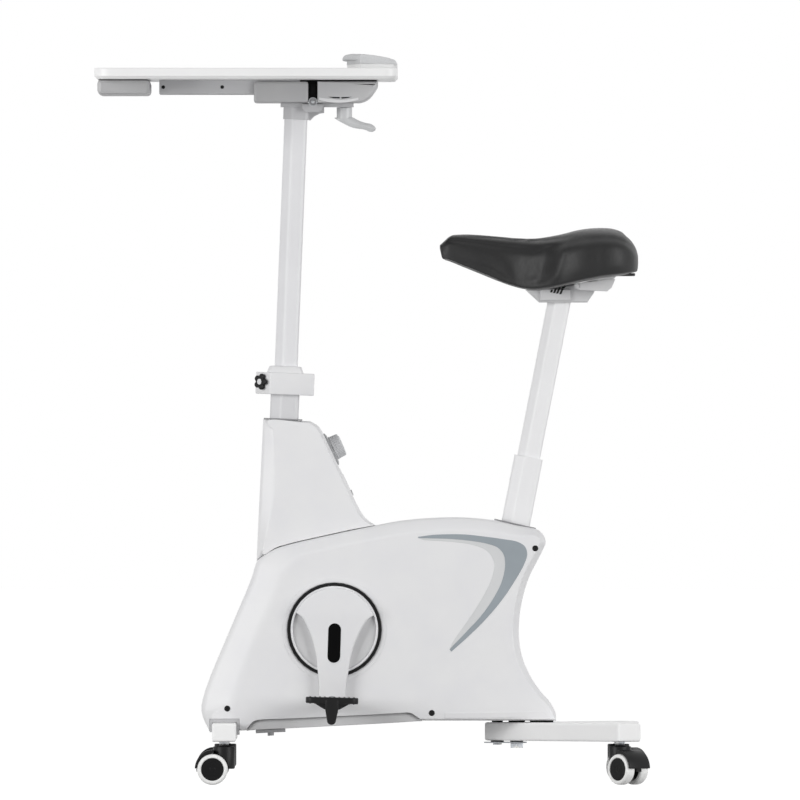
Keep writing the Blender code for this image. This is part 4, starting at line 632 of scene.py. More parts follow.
def make_covers(settings):
    """Both halves of the body and of the neck, each with the holes that pieces pass through."""
    holes = [
        slab("notch", (CROSSBAR_X - NOTCH_HALF, -0.1, 0.06),
             (CROSSBAR_X + NOTCH_HALF, 0.1, 0.1072)),
        slanted_slab("seat hole", (0.2357, 0, 0.4267), (0.0505, 0.073, 0.05), SEAT_LEAN),
        slab("cable way", (-0.1808, -0.0365, 0.370), (-0.0340, 0.0365, 0.436))]
    neck_holes = [
        slab("tube way", (-0.1808, -0.0365, 0.350), (-0.0340, 0.0365, 0.440)),
        slanted_slab("mast hole", (-0.1467, 0, 0.600), (0.0495, 0.072, 0.06), MAST_LEAN),
        slanted_slab("display window", DISPLAY_PLACE, (0.0412, 0.0512, 0.030), DISPLAY_LEAN)]
    covers = [
        ("body_cover_", "housing_", body_runs(), HALF, EDGE, np.ones_like, holes),
        ("neck_shell_", "neck_cover_", neck_runs(), NECK_HALF, NECK_EDGE, neck_width, neck_holes)]
    for side, label in SIDES:
        for name, node, runs, half, edge, width, openings in covers:
            shell = relief(
                name + label, runs, cover_section(side, half, edge), settings.spacing, width)
            inner = cover_section(side, half, edge, settings.wall)
            space = relief("space", runs, inner, 3 * settings.spacing, width, settings.wall)
            cut_with(shell, space, *openings)
            remove(space)
            shade(shell, 30.0)
            dress(shell, "white_cover", "frame", "white_plastic", node + label)
    remove(*holes, *neck_holes)


def shade(piece, angle):
    """Shade a cut piece smooth, with its real edges kept sharp."""
    piece.data.shade_smooth()
    piece.data.set_sharp_from_angle(angle=math.radians(angle))
    return piece


# Crank covers and pedals

DISC = 0.0723
CRANK_LEAN = math.radians(1.85)
CRANK_LENGTH = 0.1175
ARM_END = 0.0215


def arm_runs():
    """Raised arm on the crank cover: round over the top, waisted sides, round at the pedal."""
    right = [
        (0.0640, 0.0260, 0.0022), (0.0540, 0.0180, 0.0026), (0.0437, 0.0010, 0.0028),
        (0.0363, -0.0160, 0.0028), (0.0305, -0.0350, 0.0028), (0.0273, -0.0510, 0.0028),
        (0.0252, -0.0700, 0.0028), (0.0230, -0.0850, 0.0028), (0.0217, -0.0980, 0.0028),
        (ARM_END, -0.1100, 0.0028)]
    left = [(-x, z, inset) for x, z, inset in reversed(right)]
    end = [
        (ARM_END * math.cos(angle), -0.1100 - 0.0170 * math.sin(angle), 0.004)
        for angle in np.radians([26, 52, 90, 128, 154])]
    over = [(x, z, 0.0022) for x, z in arc((0, 0), 0.0691, 157.9, 22.1, 12)]
    return [[left[-1]] + over[1:-1] + [right[0]], right + end + left]


def crank_frame(side):
    """Place of a crank cover: the left arm hangs down and the right one stands up."""
    turn = CRANK_LEAN + (math.pi if side > 0 else 0.0)
    return at((CRANK[0], 0.0, CRANK[1]), turn)


def soft_section(side, low, high, bend):
    """Section that leaves the outline straight and rounds over in a quarter ellipse."""
    angles = np.linspace(0.0, math.pi / 2, 9)
    return [(0.0, side * low)] + [
        (1.0 - math.cos(a), side * (high - bend + bend * math.sin(a))) for a in angles]


def stadium(width, height, inset):
    """Runs of an upright outline with half round ends."""
    radius = width / 2
    straight = height / 2 - radius
    top = [(x, z, inset) for x, z in arc((0.0, straight), radius, 180.0, 0.0, 13)]
    foot = [(x, z, inset) for x, z in arc((0.0, -straight), radius, 0.0, -180.0, 13)]
    return [top, [top[-1], foot[0]], foot, [foot[-1], top[0]]]


def make_crank(settings):
    """Both crank covers: dished disc, raised arm with a bare black plate, and the spindle."""
    for side, label in SIDES:
        face = side * 0.0800
        dish = side * 0.0752
        base = side * 0.0729
        profile = np.array([
            (0.0, base), (DISC - 0.0010, base), (DISC, base + side * 0.0012),
            (DISC, face - side * 0.0022), (DISC - 0.0006, face - side * 0.0008),
            (DISC - 0.0016, face), (DISC - 0.0030, face), (DISC - 0.0034, face - side * 0.0004),
            (DISC - 0.0038, dish), (0.0, dish)])
        disc = lathe("disc", profile, 120)
        placed(disc, Matrix.Rotation(-math.pi / 2, 4, "X"))
        arm = relief("arm", arm_runs(), soft_section(side, 0.0745, 0.0890, 0.0026), 0.0025)
        spindle = lathe("spindle", [
            (0.0, 0.0850), (0.0060, 0.0850), (0.0060, 0.1845), (0.0052, 0.1850),
            (0.0, 0.1850)], 32)
        placed(spindle, at((0, 0, -CRANK_LENGTH), -side * math.pi / 2, "X"))
        cover = joined("crank_shell_" + label, [disc, arm, spindle])
        placed(cover, crank_frame(side))
        dress(cover, "white_cover", "crank", "white_plastic", "crank_cover_" + label)
        # The dish floor takes a darker white: painted shade in the recess round the arm.
        floor = lathe("crank_dish_" + label, [
            (0.0, dish), (DISC - 0.0040, dish), (DISC - 0.0042, dish + side * 0.0004),
            (0.0560, dish + side * 0.0002), (0.0, dish + side * 0.0002)], 120)
        placed(floor, crank_frame(side) @ Matrix.Rotation(-math.pi / 2, 4, "X"))
        dress(floor, "dish_white_painted_shade", "crank", "white_plastic")

        lift = at((0.0005, 0.0, -0.0219))
        edge = relief(
            "plate_edge_" + label,
            stadium(settings.plate_width + 0.0040, settings.plate_height + 0.0040, 0.0010),
            soft_section(side, 0.0880, 0.0894, 0.0005), 0.002)
        plate = relief(
            "plate_" + label, stadium(settings.plate_width, settings.plate_height, 0.0030),
            soft_section(side, 0.0885, 0.0901, 0.0008), 0.002)
        for piece, finish, slot in (
                (edge, "white_trim", "white_plastic"), (plate, "black_gloss", "black_plastic")):
            placed(piece, crank_frame(side) @ lift)
            dress(piece, finish, "crank", slot)


# Saddle

def along(controls, x):
    """Value at x of a smooth curve through controls of place and value."""
    curve = spline(controls, 40 * len(controls))
    return np.interp(x, curve[:, 0], curve[:, 1])


SADDLE_TOP = [
    (0.1107, 0.8912), (0.1130, 0.8930), (0.1200, 0.8995), (0.1260, 0.9048), (0.1310, 0.9068),
    (0.1407, 0.9070), (0.1709, 0.9058), (0.2104, 0.9028), (0.2450, 0.9010), (0.2704, 0.9007),
    (0.2937, 0.9036), (0.3168, 0.9081), (0.3376, 0.9134), (0.3608, 0.9167), (0.3839, 0.9172),
    (0.3978, 0.9156), (0.4163, 0.9081), (0.4279, 0.8977), (0.4360, 0.8838), (0.4390, 0.8720)]
SADDLE_FOOT = [
    (0.1107, 0.8850), (0.1125, 0.8780), (0.1153, 0.8678), (0.1223, 0.8672), (0.1500, 0.8565),
    (0.1779, 0.8452), (0.2060, 0.8338), (0.2300, 0.8252), (0.2543, 0.8190), (0.2682, 0.8179),
    (0.2913, 0.8202), (0.3240, 0.8272), (0.3562, 0.8341), (0.3800, 0.8385), (0.4024, 0.8410),
    (0.4337, 0.8456), (0.4372, 0.8470), (0.4390, 0.8600)]
SADDLE_HALF = [
    (0.1107, 0.0160), (0.1125, 0.0200), (0.1153, 0.0235), (0.1250, 0.0290), (0.1600, 0.0340),
    (0.2000, 0.0380), (0.2400, 0.0480), (0.2700, 0.0660), (0.3000, 0.0910), (0.3300, 0.1110),
    (0.3600, 0.1205), (0.3900, 0.1215), (0.4150, 0.1120), (0.4300, 0.0940), (0.4372, 0.0720),
    (0.4390, 0.0600)]
SADDLE_CREASE = 0.3678
SADDLE_PANELS = (0.338, 0.402)
FOLD_FOOT = (0.2870, 0.8258)
FOLD_SLOPE = 0.288
SADDLE_SQUARENESS = 3.3
SADDLE_TUCK = 0.05


def padded_shape(name, stations, foot, top, half, square, tuck):
    """Closed cushion along X: rings whose upper part is a superellipse over a low edge.

    In a ring at x, y is half width times cos to the power 2/n and z is the edge plus the
    height times sin to the power 2/n; below its widest line the side tucks in evenly.
    """
    angles = np.linspace(0.0, np.pi, 41)
    cos = np.sign(np.cos(angles)) * np.abs(np.cos(angles)) ** (2.0 / square)
    sin = np.abs(np.sin(angles)) ** (2.0 / square)
    low, high, wide = (values[:, None] for values in (foot, top, half))
    waist = low + 0.34 * (high - low)
    upper_y = wide * cos
    upper_z = waist + (high - waist) * sin
    steps = np.linspace(1.0, 0.0, 8)[1:]
    left_y = -wide * (1.0 - tuck * (1.0 - steps) ** 2)
    side_z = low + (waist - low) * steps
    floor = np.linspace(-1.0, 1.0, 12)[1:-1] * (1.0 - tuck)
    floor_y = wide * floor
    floor_z = np.repeat(low, floor.size, axis=1)
    y = np.hstack([upper_y, left_y, floor_y, -left_y[:, ::-1]])
    z = np.hstack([upper_z, side_z, floor_z, side_z[:, ::-1]])
    grid = np.stack([np.repeat(stations[:, None], y.shape[1], axis=1), y, z], axis=-1)
    return surface(name, grid, capped=True)


def swollen(piece, cap):
    """Swell a closed shape like padding under a stretched cover, no point further than a cap.

    The cloth's result is used along the shape's own normals, and only where it moved outwards.
    """
    before = mesh_points(piece)
    outward = np.array([tuple(vertex.normal) for vertex in piece.data.vertices])
    cloth = piece.modifiers.new("cloth", "CLOTH")
    cloth.settings.use_pressure = True
    cloth.settings.uniform_pressure_force = 4.0
    cloth.settings.effector_weights.gravity = 0.0
    scene = bpy.context.scene
    for frame_number in range(1, 21):
        scene.frame_set(frame_number)
    applied(piece)
    scene.frame_set(1)
    move = ((mesh_points(piece) - before) * outward).sum(axis=1)[:, None]
    set_points(piece, before + outward * np.clip(move, 0.0, cap))
    smooth = piece.modifiers.new("subdivision", "SUBSURF")
    smooth.levels = smooth.render_levels = 1
    return shade(applied(piece), 180.0)


def mesh_points(piece):
    """Points of a piece's mesh as rows of an array."""
    points = np.empty(len(piece.data.vertices) * 3)
    piece.data.vertices.foreach_get("co", points)
    return points.reshape(-1, 3)


def set_points(piece, points):
    """Write rows of an array back as the points of a piece's mesh."""
    piece.data.vertices.foreach_set("co", np.ascontiguousarray(points).ravel())
    piece.data.update()


def bump_at(value, centre, width):
    """Bell curve round a centre."""
    return np.exp(-((value - centre) / width) ** 2)


def sculpt_saddle(points):
    """Pinch the cover at its sewn crease and fill out the two panels on each side of it."""
    x, y, z = points.T
    half = along(SADDLE_HALF, x)
    foot = along(SADDLE_FOOT, x)
    top = along(SADDLE_TOP, x)
    height = np.clip((z - foot) / np.maximum(top - foot, 1e-6), 0.0, 1.0)
    outside = smooth_step(np.abs(y) / np.maximum(half, 1e-6), 0.66, 0.90)
    flank = outside * smooth_step(height, 0.03, 0.20) * (1.0 - smooth_step(height, 0.66, 0.92))
    crease = -0.0014 * bump_at(x, SADDLE_CREASE, 0.0100)
    front_panel, rear_panel = SADDLE_PANELS
    panels = 0.0010 * (bump_at(x, front_panel, 0.018) + bump_at(x, rear_panel, 0.022))
    slant = x - FOLD_FOOT[0] - FOLD_SLOPE * (z - FOLD_FOOT[1])
    fold = 0.0034 * bump_at(slant, 0.012, 0.0075) - 0.0060 * bump_at(slant, -0.012, 0.014)
    seam = -0.0030 * outside * bump_at(height, 0.80, 0.085) * smooth_step(x, 0.115, 0.135)
    moved = points.copy()
    moved[:, 1] = y + np.sign(y) * (flank * (crease + panels + fold) + seam)
    groove = 0.0035 * np.exp(-(y / 0.016) ** 2) * smooth_step(height, 0.6, 0.95)
    groove *= smooth_step(x, 0.20, 0.28) * (1.0 - smooth_step(x, 0.40, 0.435))
    moved[:, 2] = z - groove
    return moved


def make_saddle(settings):
    """Padded saddle with its sewn creases."""
    stations = np.concatenate([
        np.linspace(0.1107, 0.1330, 16), np.linspace(0.1356, 0.4250, 92)[:-1],
        np.linspace(0.4250, 0.4390, 12)])
    shrink = settings.swell
    cushion = padded_shape(
        "saddle_pad", stations, along(SADDLE_FOOT, stations),
        along(SADDLE_TOP, stations) - shrink, along(SADDLE_HALF, stations) - shrink,
        SADDLE_SQUARENESS, SADDLE_TUCK)
    swollen(cushion, settings.cap)
    set_points(cushion, sculpt_saddle(mesh_points(cushion)))
    dress(cushion, "saddle_leather", "seat", "black_leather", "saddle_cushion")


# Desk

DESK_FRONT = -0.4582
DESK_REAR = 0.0413
DESK_HALF = 0.320
DESK_LOW = 1.1628
DESK_TOP = 1.1806
REST_HALF = 0.230
REST_LOW = 1.1886
REST_LIP = 0.0082
REST_SWELL = 0.25
REST_CROWN = np.array([
    (-0.0600, 1.2053), (-0.0330, 1.2053), (-0.0211, 1.2042), (0.0000, 1.2020), (0.0125, 1.2001),
    (0.0260, 1.1975), (0.0340, 1.1956), (0.0370, 1.1944), (0.0388, 1.1925), (0.0396, 1.1905),
    (0.0399, 1.1885)])


def lying(piece):
    """Turn a relief over an outline so that the outline lies flat and its depth is height."""
    return placed(piece, Matrix.Rotation(math.pi / 2, 4, "X"))


def rounded_plan(low, high, radii, inset):
    """Runs of a rectangle in X and Y, clockwise from its near front corner, corners round.

    The radii belong to the front and to the rear corners.
    """
    front, rear = radii
    corners = [
        ((low[0] + front, low[1] + front), front, 270.0),
        ((low[0] + front, high[1] - front), front, 180.0),
        ((high[0] - rear, high[1] - rear), rear, 90.0),
        ((high[0] - rear, low[1] + rear), rear, 0.0)]
    bends = [
        [(x, y, inset) for x, y in arc(centre, radius, start, start - 90.0, 9)]
        for centre, radius, start in corners]
    runs = []
    for bend, following in zip(bends, bends[1:] + bends[:1]):
        runs += [bend, [bend[-1], following[0]]]
    return runs


def make_board():
    """Desktop board with a small round along its top and a crisp chamfer along its foot."""
    chamfer, bend = 0.0046, 0.0016
    runs = rounded_plan(
        (DESK_FRONT, -DESK_HALF), (DESK_REAR, DESK_HALF), (0.028, 0.020), chamfer)
    section = [(1.0, DESK_LOW), (0.0, DESK_LOW + chamfer), (0.0, DESK_TOP - bend)]
    section += [
        (bend / chamfer * (1 - math.cos(a)), DESK_TOP - bend + bend * math.sin(a))
        for a in np.radians([30, 60, 90])]
    board = lying(relief("board", runs, section, 0.02))
    dress(board, "board", "desk", "laminate", "desktop")


def rest_front(way):
    """X of the wrist rest's front edge: bowed, furthest forward at the middle."""
    return -0.0506 + 0.0300 * np.abs(way) ** 2.0


def make_rest(settings):
    """Soft wrist rest with an overhanging front lip, on its white base."""
    ways = np.sin(np.linspace(-math.pi / 2, math.pi / 2, 49))
    front = rest_front(ways)[:, None]
    lip = smooth_step(1.0 - np.abs(ways), 0.0, 0.35)[:, None]
    under = np.array([
        (REST_LIP, 0.00), (REST_LIP, 0.20), (REST_LIP, 0.38), (0.0040, 0.39), (0.0014, 0.40),
        (0.0000, 0.48), (0.0003, 0.62), (0.0018, 0.80), (0.0042, 0.95)])
    step = np.where(under[:, 0] < REST_LIP, under[:, 0], REST_LIP * lip)
    nose_x = front + step * np.where(under[:, 1] < 0.39, 1.0, lip + (1 - lip) * 0.3)
    nose_top = np.interp(front + 0.0085, REST_CROWN[:, 0], REST_CROWN[:, 1])
    nose_z = REST_LOW + (nose_top - REST_LOW) * under[:, 1]
    share = np.linspace(0.0, 1.0, 26)[1:]
    crown_x = front + 0.0060 + (REST_CROWN[-1, 0] - front - 0.0060) * share
    crown_z = np.interp(crown_x, REST_CROWN[:, 0], REST_CROWN[:, 1])
    x = np.hstack([nose_x, crown_x])
    z = np.hstack([nose_z, crown_z])
    y = np.repeat(ways[:, None] * (REST_HALF - 0.0040), x.shape[1], axis=1)
    pad = surface("rest_pad", np.stack([x, y, z], axis=-1), capped=True)
    round_edges(pad, 1.2, 3, 60.0)
    swollen(pad, REST_SWELL * settings.cap)
    dress(pad, "rest_leather", "desk", "soft_grey", "wrist_rest_pad")

    steps = np.linspace(1.0, -1.0, 41)
    inset = 0.0014
    bow = [
        (x + REST_LIP * smooth_step(1.0 - abs(way), 0.0, 0.35), way * (REST_HALF - 0.002), inset)
        for x, way in zip(rest_front(steps), steps)]
    rear = DESK_REAR - 0.0008
    near = arc((rear - 0.004, REST_HALF - 0.006), 0.004, 0.0, -90.0, 9)
    far = [(x, -y, inset) for x, y in near]
    near = [(x, y, inset) for x, y in near]
    runs = [bow[::-1], [bow[0], *near[::-1]], [near[0], far[0]], [*far, bow[-1]]]
    runs = [[(x, -y, inset) for x, y, _ in run] for run in runs]
    section = soft_section(1.0, DESK_TOP, REST_LOW - 0.0003, inset)
    base = lying(relief("rest_base", runs, section, 0.006))
    dress(base, "board", "desk", "laminate", "wrist_rest_base")


# Castors

WHEEL = 0.0254
CASTOR_TRAIL = 0.0191
CASTOR_TOP = 0.0633
HOOD_HALF = 0.0236
CROSSBAR_REACH = 0.233
REAR_STEM = (0.4077, 0.2096)
REAR_YAW = math.radians(133.0)


def round_edges(piece, width_mm, segments=3, angle=30.0):
    """Round a piece's sharp edges to a real width and keep the result as its mesh."""
    bevel = piece.modifiers.new("round", "BEVEL")
    bevel.width = width_mm / 1000.0
    bevel.segments = segments
    bevel.limit_method = "ANGLE"
    bevel.angle_limit = math.radians(angle)
    return shade(applied(piece), 40.0)


def make_castor(name, place, yaw, clearance):
    """Twin-wheel castor: rounded hood with a fender, cone and stem, treads and dished hubs."""
    stance = at((*place, 0.0), yaw, "Z")
    centre = np.array([-CASTOR_TRAIL, WHEEL])
    hub_place = (centre[0], 0.0, centre[1])
    fender = centre + arc((0.0, 0.0), 1.0, 86.0, 178.0, 16) * (0.0292, 0.0322)
    under = arc(centre, WHEEL + 0.0010, 176.0, -2.0, 30)
    outline = np.vstack([fender, under[:15], [(-0.0172, 0.0540)]])
    hood = extruded(name + "_hood_shape", outline, -HOOD_HALF, HOOD_HALF)
    round_edges(hood, 2.0, 3, 50.0)
    barrel = lathe("barrel", [
        (0.0, 0.0262), (0.0160, 0.0262), (0.0176, 0.0272), (0.0182, 0.0300), (0.0182, 0.0618),
        (0.0176, CASTOR_TOP - 0.0004), (0.0170, CASTOR_TOP), (0.0, CASTOR_TOP)], 64)
    stand = at(hub_place, math.pi / 2, "X")
    reach = WHEEL + clearance
    wells = [
        placed(drum("well", reach, low, low + 0.0200, 64), stand) for low in (-0.0258, 0.0058)]
    cut_with(barrel, *wells)
    remove(*wells)
    shade(barrel, 35.0)
    web = placed(drum("web", reach, -0.0055, 0.0055, 48), stand)
    lower = slab("lower", (-0.06, -0.02, -0.01), (0.03, 0.02, centre[1] - 0.004))
    cut_with(web, lower)
    remove(lower)
    boss = lathe("boss", [
        (0.0, CASTOR_TOP - 0.002), (0.0095, CASTOR_TOP - 0.002), (0.0088, CASTOR_TOP + 0.0006),
        (0.0, CASTOR_TOP + 0.0006)], 40)
    hood = placed(joined(name + "_fender", [hood, barrel, web, boss]), stance)
    dress(hood, "black_plastic", name, "black_plastic", name + "_hood")
    stem = placed(lathe(name + "_stem_cone", [
        (0.0, CASTOR_TOP), (0.0056, CASTOR_TOP), (0.0066, CASTOR_TOP + 0.0010),
        (0.0082, CASTOR_TOP + 0.0060), (0.0082, CASTOR_TOP + 0.0073),
        (0.0052, CASTOR_TOP + 0.0073), (0.0052, 0.0915), (0.0045, 0.0920),
        (0.0, 0.0920)], 32), stance)
    dress(stem, "zinc", name, "steel")
    treads, hubs = [], []
    for side in (-1, 1):
        turn = at(hub_place, math.pi / 2 * side, "X")
        tread = [
            (0.0186, 0.0225), (0.0190, 0.0238), (0.0199, 0.0244), (0.0222, 0.0243),
            (0.0240, 0.0234), (0.0250, 0.0218), (WHEEL, 0.0195), (WHEEL, 0.0110),
            (0.0249, 0.0087), (0.0236, 0.0073), (0.0216, 0.0066), (0.0192, 0.0066),
            (0.0186, 0.0080), (0.0186, 0.0225)]
        hub = [
            (0.0, 0.0231), (0.0040, 0.0231), (0.0046, 0.0226), (0.0120, 0.0224),
            (0.0165, 0.0231), (0.0182, 0.0232), (0.0188, 0.0226), (0.0188, 0.0074),
            (0.0180, 0.0066), (0.0060, 0.0060), (0.0, 0.0060)]
        treads.append(placed(lathe("tread", tread, 96), turn))
        hubs.append(placed(lathe("hub", hub, 72), turn))
    axle = placed(drum("axle", 0.0040, -0.0070, 0.0070, 24), stand)
    tread = placed(joined(name + "_treads", treads), stance)
    dress(tread, "tread", name + "_wheels", "tyre_white", name + "_wheels")
    hub = placed(joined(name + "_hubs", [*hubs, axle]), stance)
    dress(hub, "hub_black", name + "_wheels", "black_plastic")


def make_castors(settings):
    """Two castors under the crossbar's ends and two under the rear legs."""
    for side, label in SIDES:
        make_castor(
            "front_castor_" + label, (CROSSBAR_X, side * CROSSBAR_REACH), 0.0,
            settings.clearance)
        make_castor(
            "rear_castor_" + label, (REAR_STEM[0], side * REAR_STEM[1]), REAR_YAW,
            settings.clearance)


# Pedals and knobs

PEDAL_TILT = math.radians(1.5)
PEDAL_HALF = 0.0434
MAST_TOP = 0.6905
MAST_FRAME = at((-0.1432, 0.0, MAST_TOP), MAST_LEAN)
COLLAR_MID = (0.6627 - MAST_TOP) / math.cos(MAST_LEAN)
KNOB_FRAME = at((-0.0687, 0.0, 0.5526), math.radians(64.5))


def plan_outline(low, high, radius):
    """Points round a rectangle in X and Y whose four corners have one radius."""
    return np.vstack([
        np.array(run)[:, :2] for run in rounded_plan(low, high, (radius, radius), 0.0)[::2]])


def upright(name, outline, low, high):
    """Solid over a plan outline in X and Y: the outline swept up Z."""
    piece = extruded(name, np.asarray(outline) * (1.0, -1.0), low, high)
    return placed(piece, Matrix.Rotation(math.pi / 2, 4, "X"))


def make_pedals():
    """Ribbed platform on a tapering body, a rounded tongue below the spindle, and a washer."""
    for side, label in SIDES:
        low, high = sorted((side * 0.098, side * 0.193))
        plan = plan_outline((-PEDAL_HALF, low), (PEDAL_HALF, high), 0.012)
        deck = round_edges(upright("deck", plan, -0.0038, 0.0062), 1.6, 3, 50.0)
        taper = [
            (-0.0300, 0.0), (0.0300, 0.0), (0.0285, -0.0042), (0.0125, -0.0135),
            (-0.0125, -0.0135), (-0.0285, -0.0042)]
        body = round_edges(extruded("body", taper, low + 0.006, high - 0.006), 1.2, 2, 25.0)
        tip = arc((0.0, -0.0313), 0.0075, 0.0, -180.0, 15)
        tongue = np.vstack([
            [(-0.0105, 0.0020), (-0.0060, 0.0045), (0.0060, 0.0045), (0.0105, 0.0020),
             (0.0112, -0.0120)], tip, [(-0.0112, -0.0120)]])
        back, face = sorted((side * 0.1342, side * 0.1942))
        tongue = round_edges(extruded("tongue", tongue, back, face), 1.6, 3, 50.0)
        ribs = []
        for x in np.linspace(-0.036, 0.036, 10):
            for z_low, z_high in ((0.0056, 0.0072), (-0.0046, -0.0030)):
                rib = plan_outline(
                    (x - 0.0013, low + 0.010), (x + 0.0013, high - 0.010), 0.0012)
                ribs.append(upright("rib", rib, z_low, z_high))
        pedal = joined("pedal_body_" + label, [deck, body, tongue, *ribs])
        place = (
            CRANK[0] + side * CRANK_LENGTH * math.sin(CRANK_LEAN), 0.0,
            CRANK[1] + side * CRANK_LENGTH * math.cos(CRANK_LEAN))
        placed(pedal, at(place, PEDAL_TILT))
        dress(pedal, "black_plastic", "pedal_" + label, "black_plastic", "pedal_" + label)
        washer = placed(lathe("pedal_washer_" + label, [
            (0.0, -0.0014), (0.0078, -0.0014), (0.0082, -0.0010), (0.0082, 0.0010),
            (0.0078, 0.0014), (0.0, 0.0014)], 32),
            at((place[0], side * 0.0950, place[2]), math.pi / 2, "X"))
        dress(washer, "zinc", "crank", "steel")


def fluted(name, profile, flutes, depth, count=240, power=1.0):
    """Turned shape whose radius ripples: r times 1 minus depth times a cosine of the angle.

    The third value of a profile point says how much of the ripple that point takes, and a
    higher power makes the valleys narrower than the lobes.
    """
    profile = np.asarray(profile, dtype=float)
    angles = np.linspace(0.0, 2 * np.pi, count, endpoint=False)
    ripple = 1.0 - depth * (0.5 - 0.5 * np.cos(flutes * angles)) ** power
    radius = profile[:, :1] * (1.0 + profile[:, 2:3] * (ripple - 1.0))
    grid = np.stack([
        radius * np.cos(angles), radius * np.sin(angles),
        np.repeat(profile[:, 1:2], count, axis=1)], axis=-1)
    return surface(name, grid, sharp=32.0)


def make_knobs(settings):
    """Fluted resistance knob with its pointer, and the lobed clamp knob with a pale cap."""
    knob = fluted("knob", [
        (0.0, 0.0030, 0), (0.0185, 0.0030, 0), (0.0203, 0.0033, 0), (0.0204, 0.0052, 0),
        (0.0198, 0.0058, 0), (0.0197, 0.0062, 1), (0.0191, 0.0172, 1), (0.0186, 0.0184, 0.6),
        (0.0176, 0.0191, 0), (0.0150, 0.0197, 0), (0.0080, 0.0204, 0), (0.0, 0.0206, 0)],
        settings.ribs, 0.035)
    pointer = placed(round_edges(
        slab("pointer", (-0.0009, -0.0165, 0.0185), (0.0009, -0.0050, 0.0207)), 0.4, 2, 50.0),
        Matrix.Rotation(math.radians(-60.0), 4, "Z"))
    shaft = drum("shaft", 0.0040, -0.0160, 0.0032, 24)
    knob = placed(joined("resistance_knob_grip", [knob, pointer, shaft]), KNOB_FRAME)
    dress(knob, "knob_grey", "resistance_knob", "grey_plastic", "resistance_knob")

    clamp_frame = MAST_FRAME @ at(
        (-0.0381, -0.0310, COLLAR_MID), math.radians(45.0), "Z") @ (
        Matrix.Rotation(-math.pi / 2, 4, "Y") @ Matrix.Rotation(-math.pi / 2, 4, "Z"))
    grip = fluted("grip", [
        (0.0, 0.0010, 0), (0.0090, 0.0010, 0.4), (0.0128, 0.0018, 1), (0.0136, 0.0034, 1),
        (0.0136, 0.0058, 1), (0.0126, 0.0074, 1), (0.0100, 0.0080, 0.6), (0.0062, 0.0076, 0),
        (0.0052, 0.0066, 0), (0.0, 0.0066, 0)], settings.lobes, 0.34, 180, 2.0)
    stud = drum("stud", 0.0029, -0.0050, 0.0020, 20)
    grip = placed(joined("clamp_knob_grip", [grip, stud]), clamp_frame)
    dress(grip, "black_plastic", "collar_knob", "black_plastic", "collar_knob")
    cap = placed(lathe("clamp_knob_cap", [
        (0.0, 0.0060), (0.0048, 0.0060), (0.0049, 0.0076), (0.0044, 0.0082), (0.0, 0.0085)], 40),
        clamp_frame)
    dress(cap, "white_trim", "collar_knob", "white_plastic")


def make_collar():
    """Collar round the mast: faceted body and tapered lip."""
    corners = np.array([
        (0.0475, -0.044), (0.0475, 0.044), (-0.025, 0.044), (-0.0492, 0.0200),
        (-0.0492, -0.0200), (-0.025, -0.044)])
    body = round_edges(
        upright("collar_body", corners, COLLAR_MID - 0.0200, COLLAR_MID + 0.0162), 1.6, 3, 20.0)
    rings = []
    for grow, height in ((0.0, 0.0155), (0.0, 0.0172), (-0.0030, 0.0255), (-0.0042, 0.0268),
                         (-0.0065, 0.0272)):
        low, high = (-0.0310 - grow, -0.0410 - grow), (0.0290 + grow, 0.0410 + grow)
        plan = plan_outline(low, high, 0.009 + grow)
        rings.append(np.column_stack([plan, np.full(len(plan), COLLAR_MID + height)]))
    lip = surface("lip", rings, capped=True, sharp=40.0)
    collar = placed(joined("mast_collar_shell", [body, lip]), MAST_FRAME)
    dress(collar, "white_trim", "frame", "white_plastic", "mast_collar")


# Trim on the covers

STEP = 0.00165
STEP_ORIGIN = (372.7, 784.5)
OUT_BESIDE = 0.12
ACCENT_OUTER = [
    (417.9, 537.3), (433.2, 535.3), (463.0, 534.8), (482.9, 536.8), (502.8, 539.5),
    (517.7, 542.3), (525.2, 547.2), (527.3, 554.7), (524.3, 564.6), (516.0, 579.6),
    (502.8, 599.5), (486.2, 619.3), (469.6, 635.9), (451.4, 652.2)]
ACCENT_INNER = [
    (418.2, 538.5), (449.7, 539.4), (471.3, 541.4), (487.9, 544.4), (497.8, 548.1),
    (503.6, 554.7), (505.3, 564.6), (502.8, 579.6), (496.1, 594.5), (482.9, 614.4),
    (466.3, 632.6), (449.7, 650.0)]
ACCENT_PALE = [
    (424.0, 540.6), (452.0, 542.4), (472.0, 545.2), (485.0, 550.0), (491.5, 556.5),
    (494.5, 565.0), (492.5, 577.0), (487.0, 590.0), (476.0, 609.0), (465.0, 625.0),
    (452.5, 643.0)]
TUCK_TOP = [
    (246.5, 729.6), (249.3, 726.0), (252.4, 722.7), (256.5, 720.9), (290.0, 719.2),
    (350.0, 716.3), (400.0, 713.7), (407.5, 713.3), (411.5, 714.1), (416.0, 716.8),
    (422.3, 721.3)]


def side_view(points):
    """X and Z of points measured across and down the side view, in its own steps."""
    points = np.asarray(points, dtype=float)
    return np.column_stack([
        (points[:, 0] - STEP_ORIGIN[0]) * STEP, (STEP_ORIGIN[1] - points[:, 1]) * STEP])


def ruled(first, last, along_count, across_count):
    """Grid of X and Z between two smooth curves: straight lines join points at equal shares."""
    first, last = spline(first, along_count), spline(last, along_count)
    share = np.linspace(0.0, 1.0, across_count)[:, None, None]
    return first * (1.0 - share) + last * share


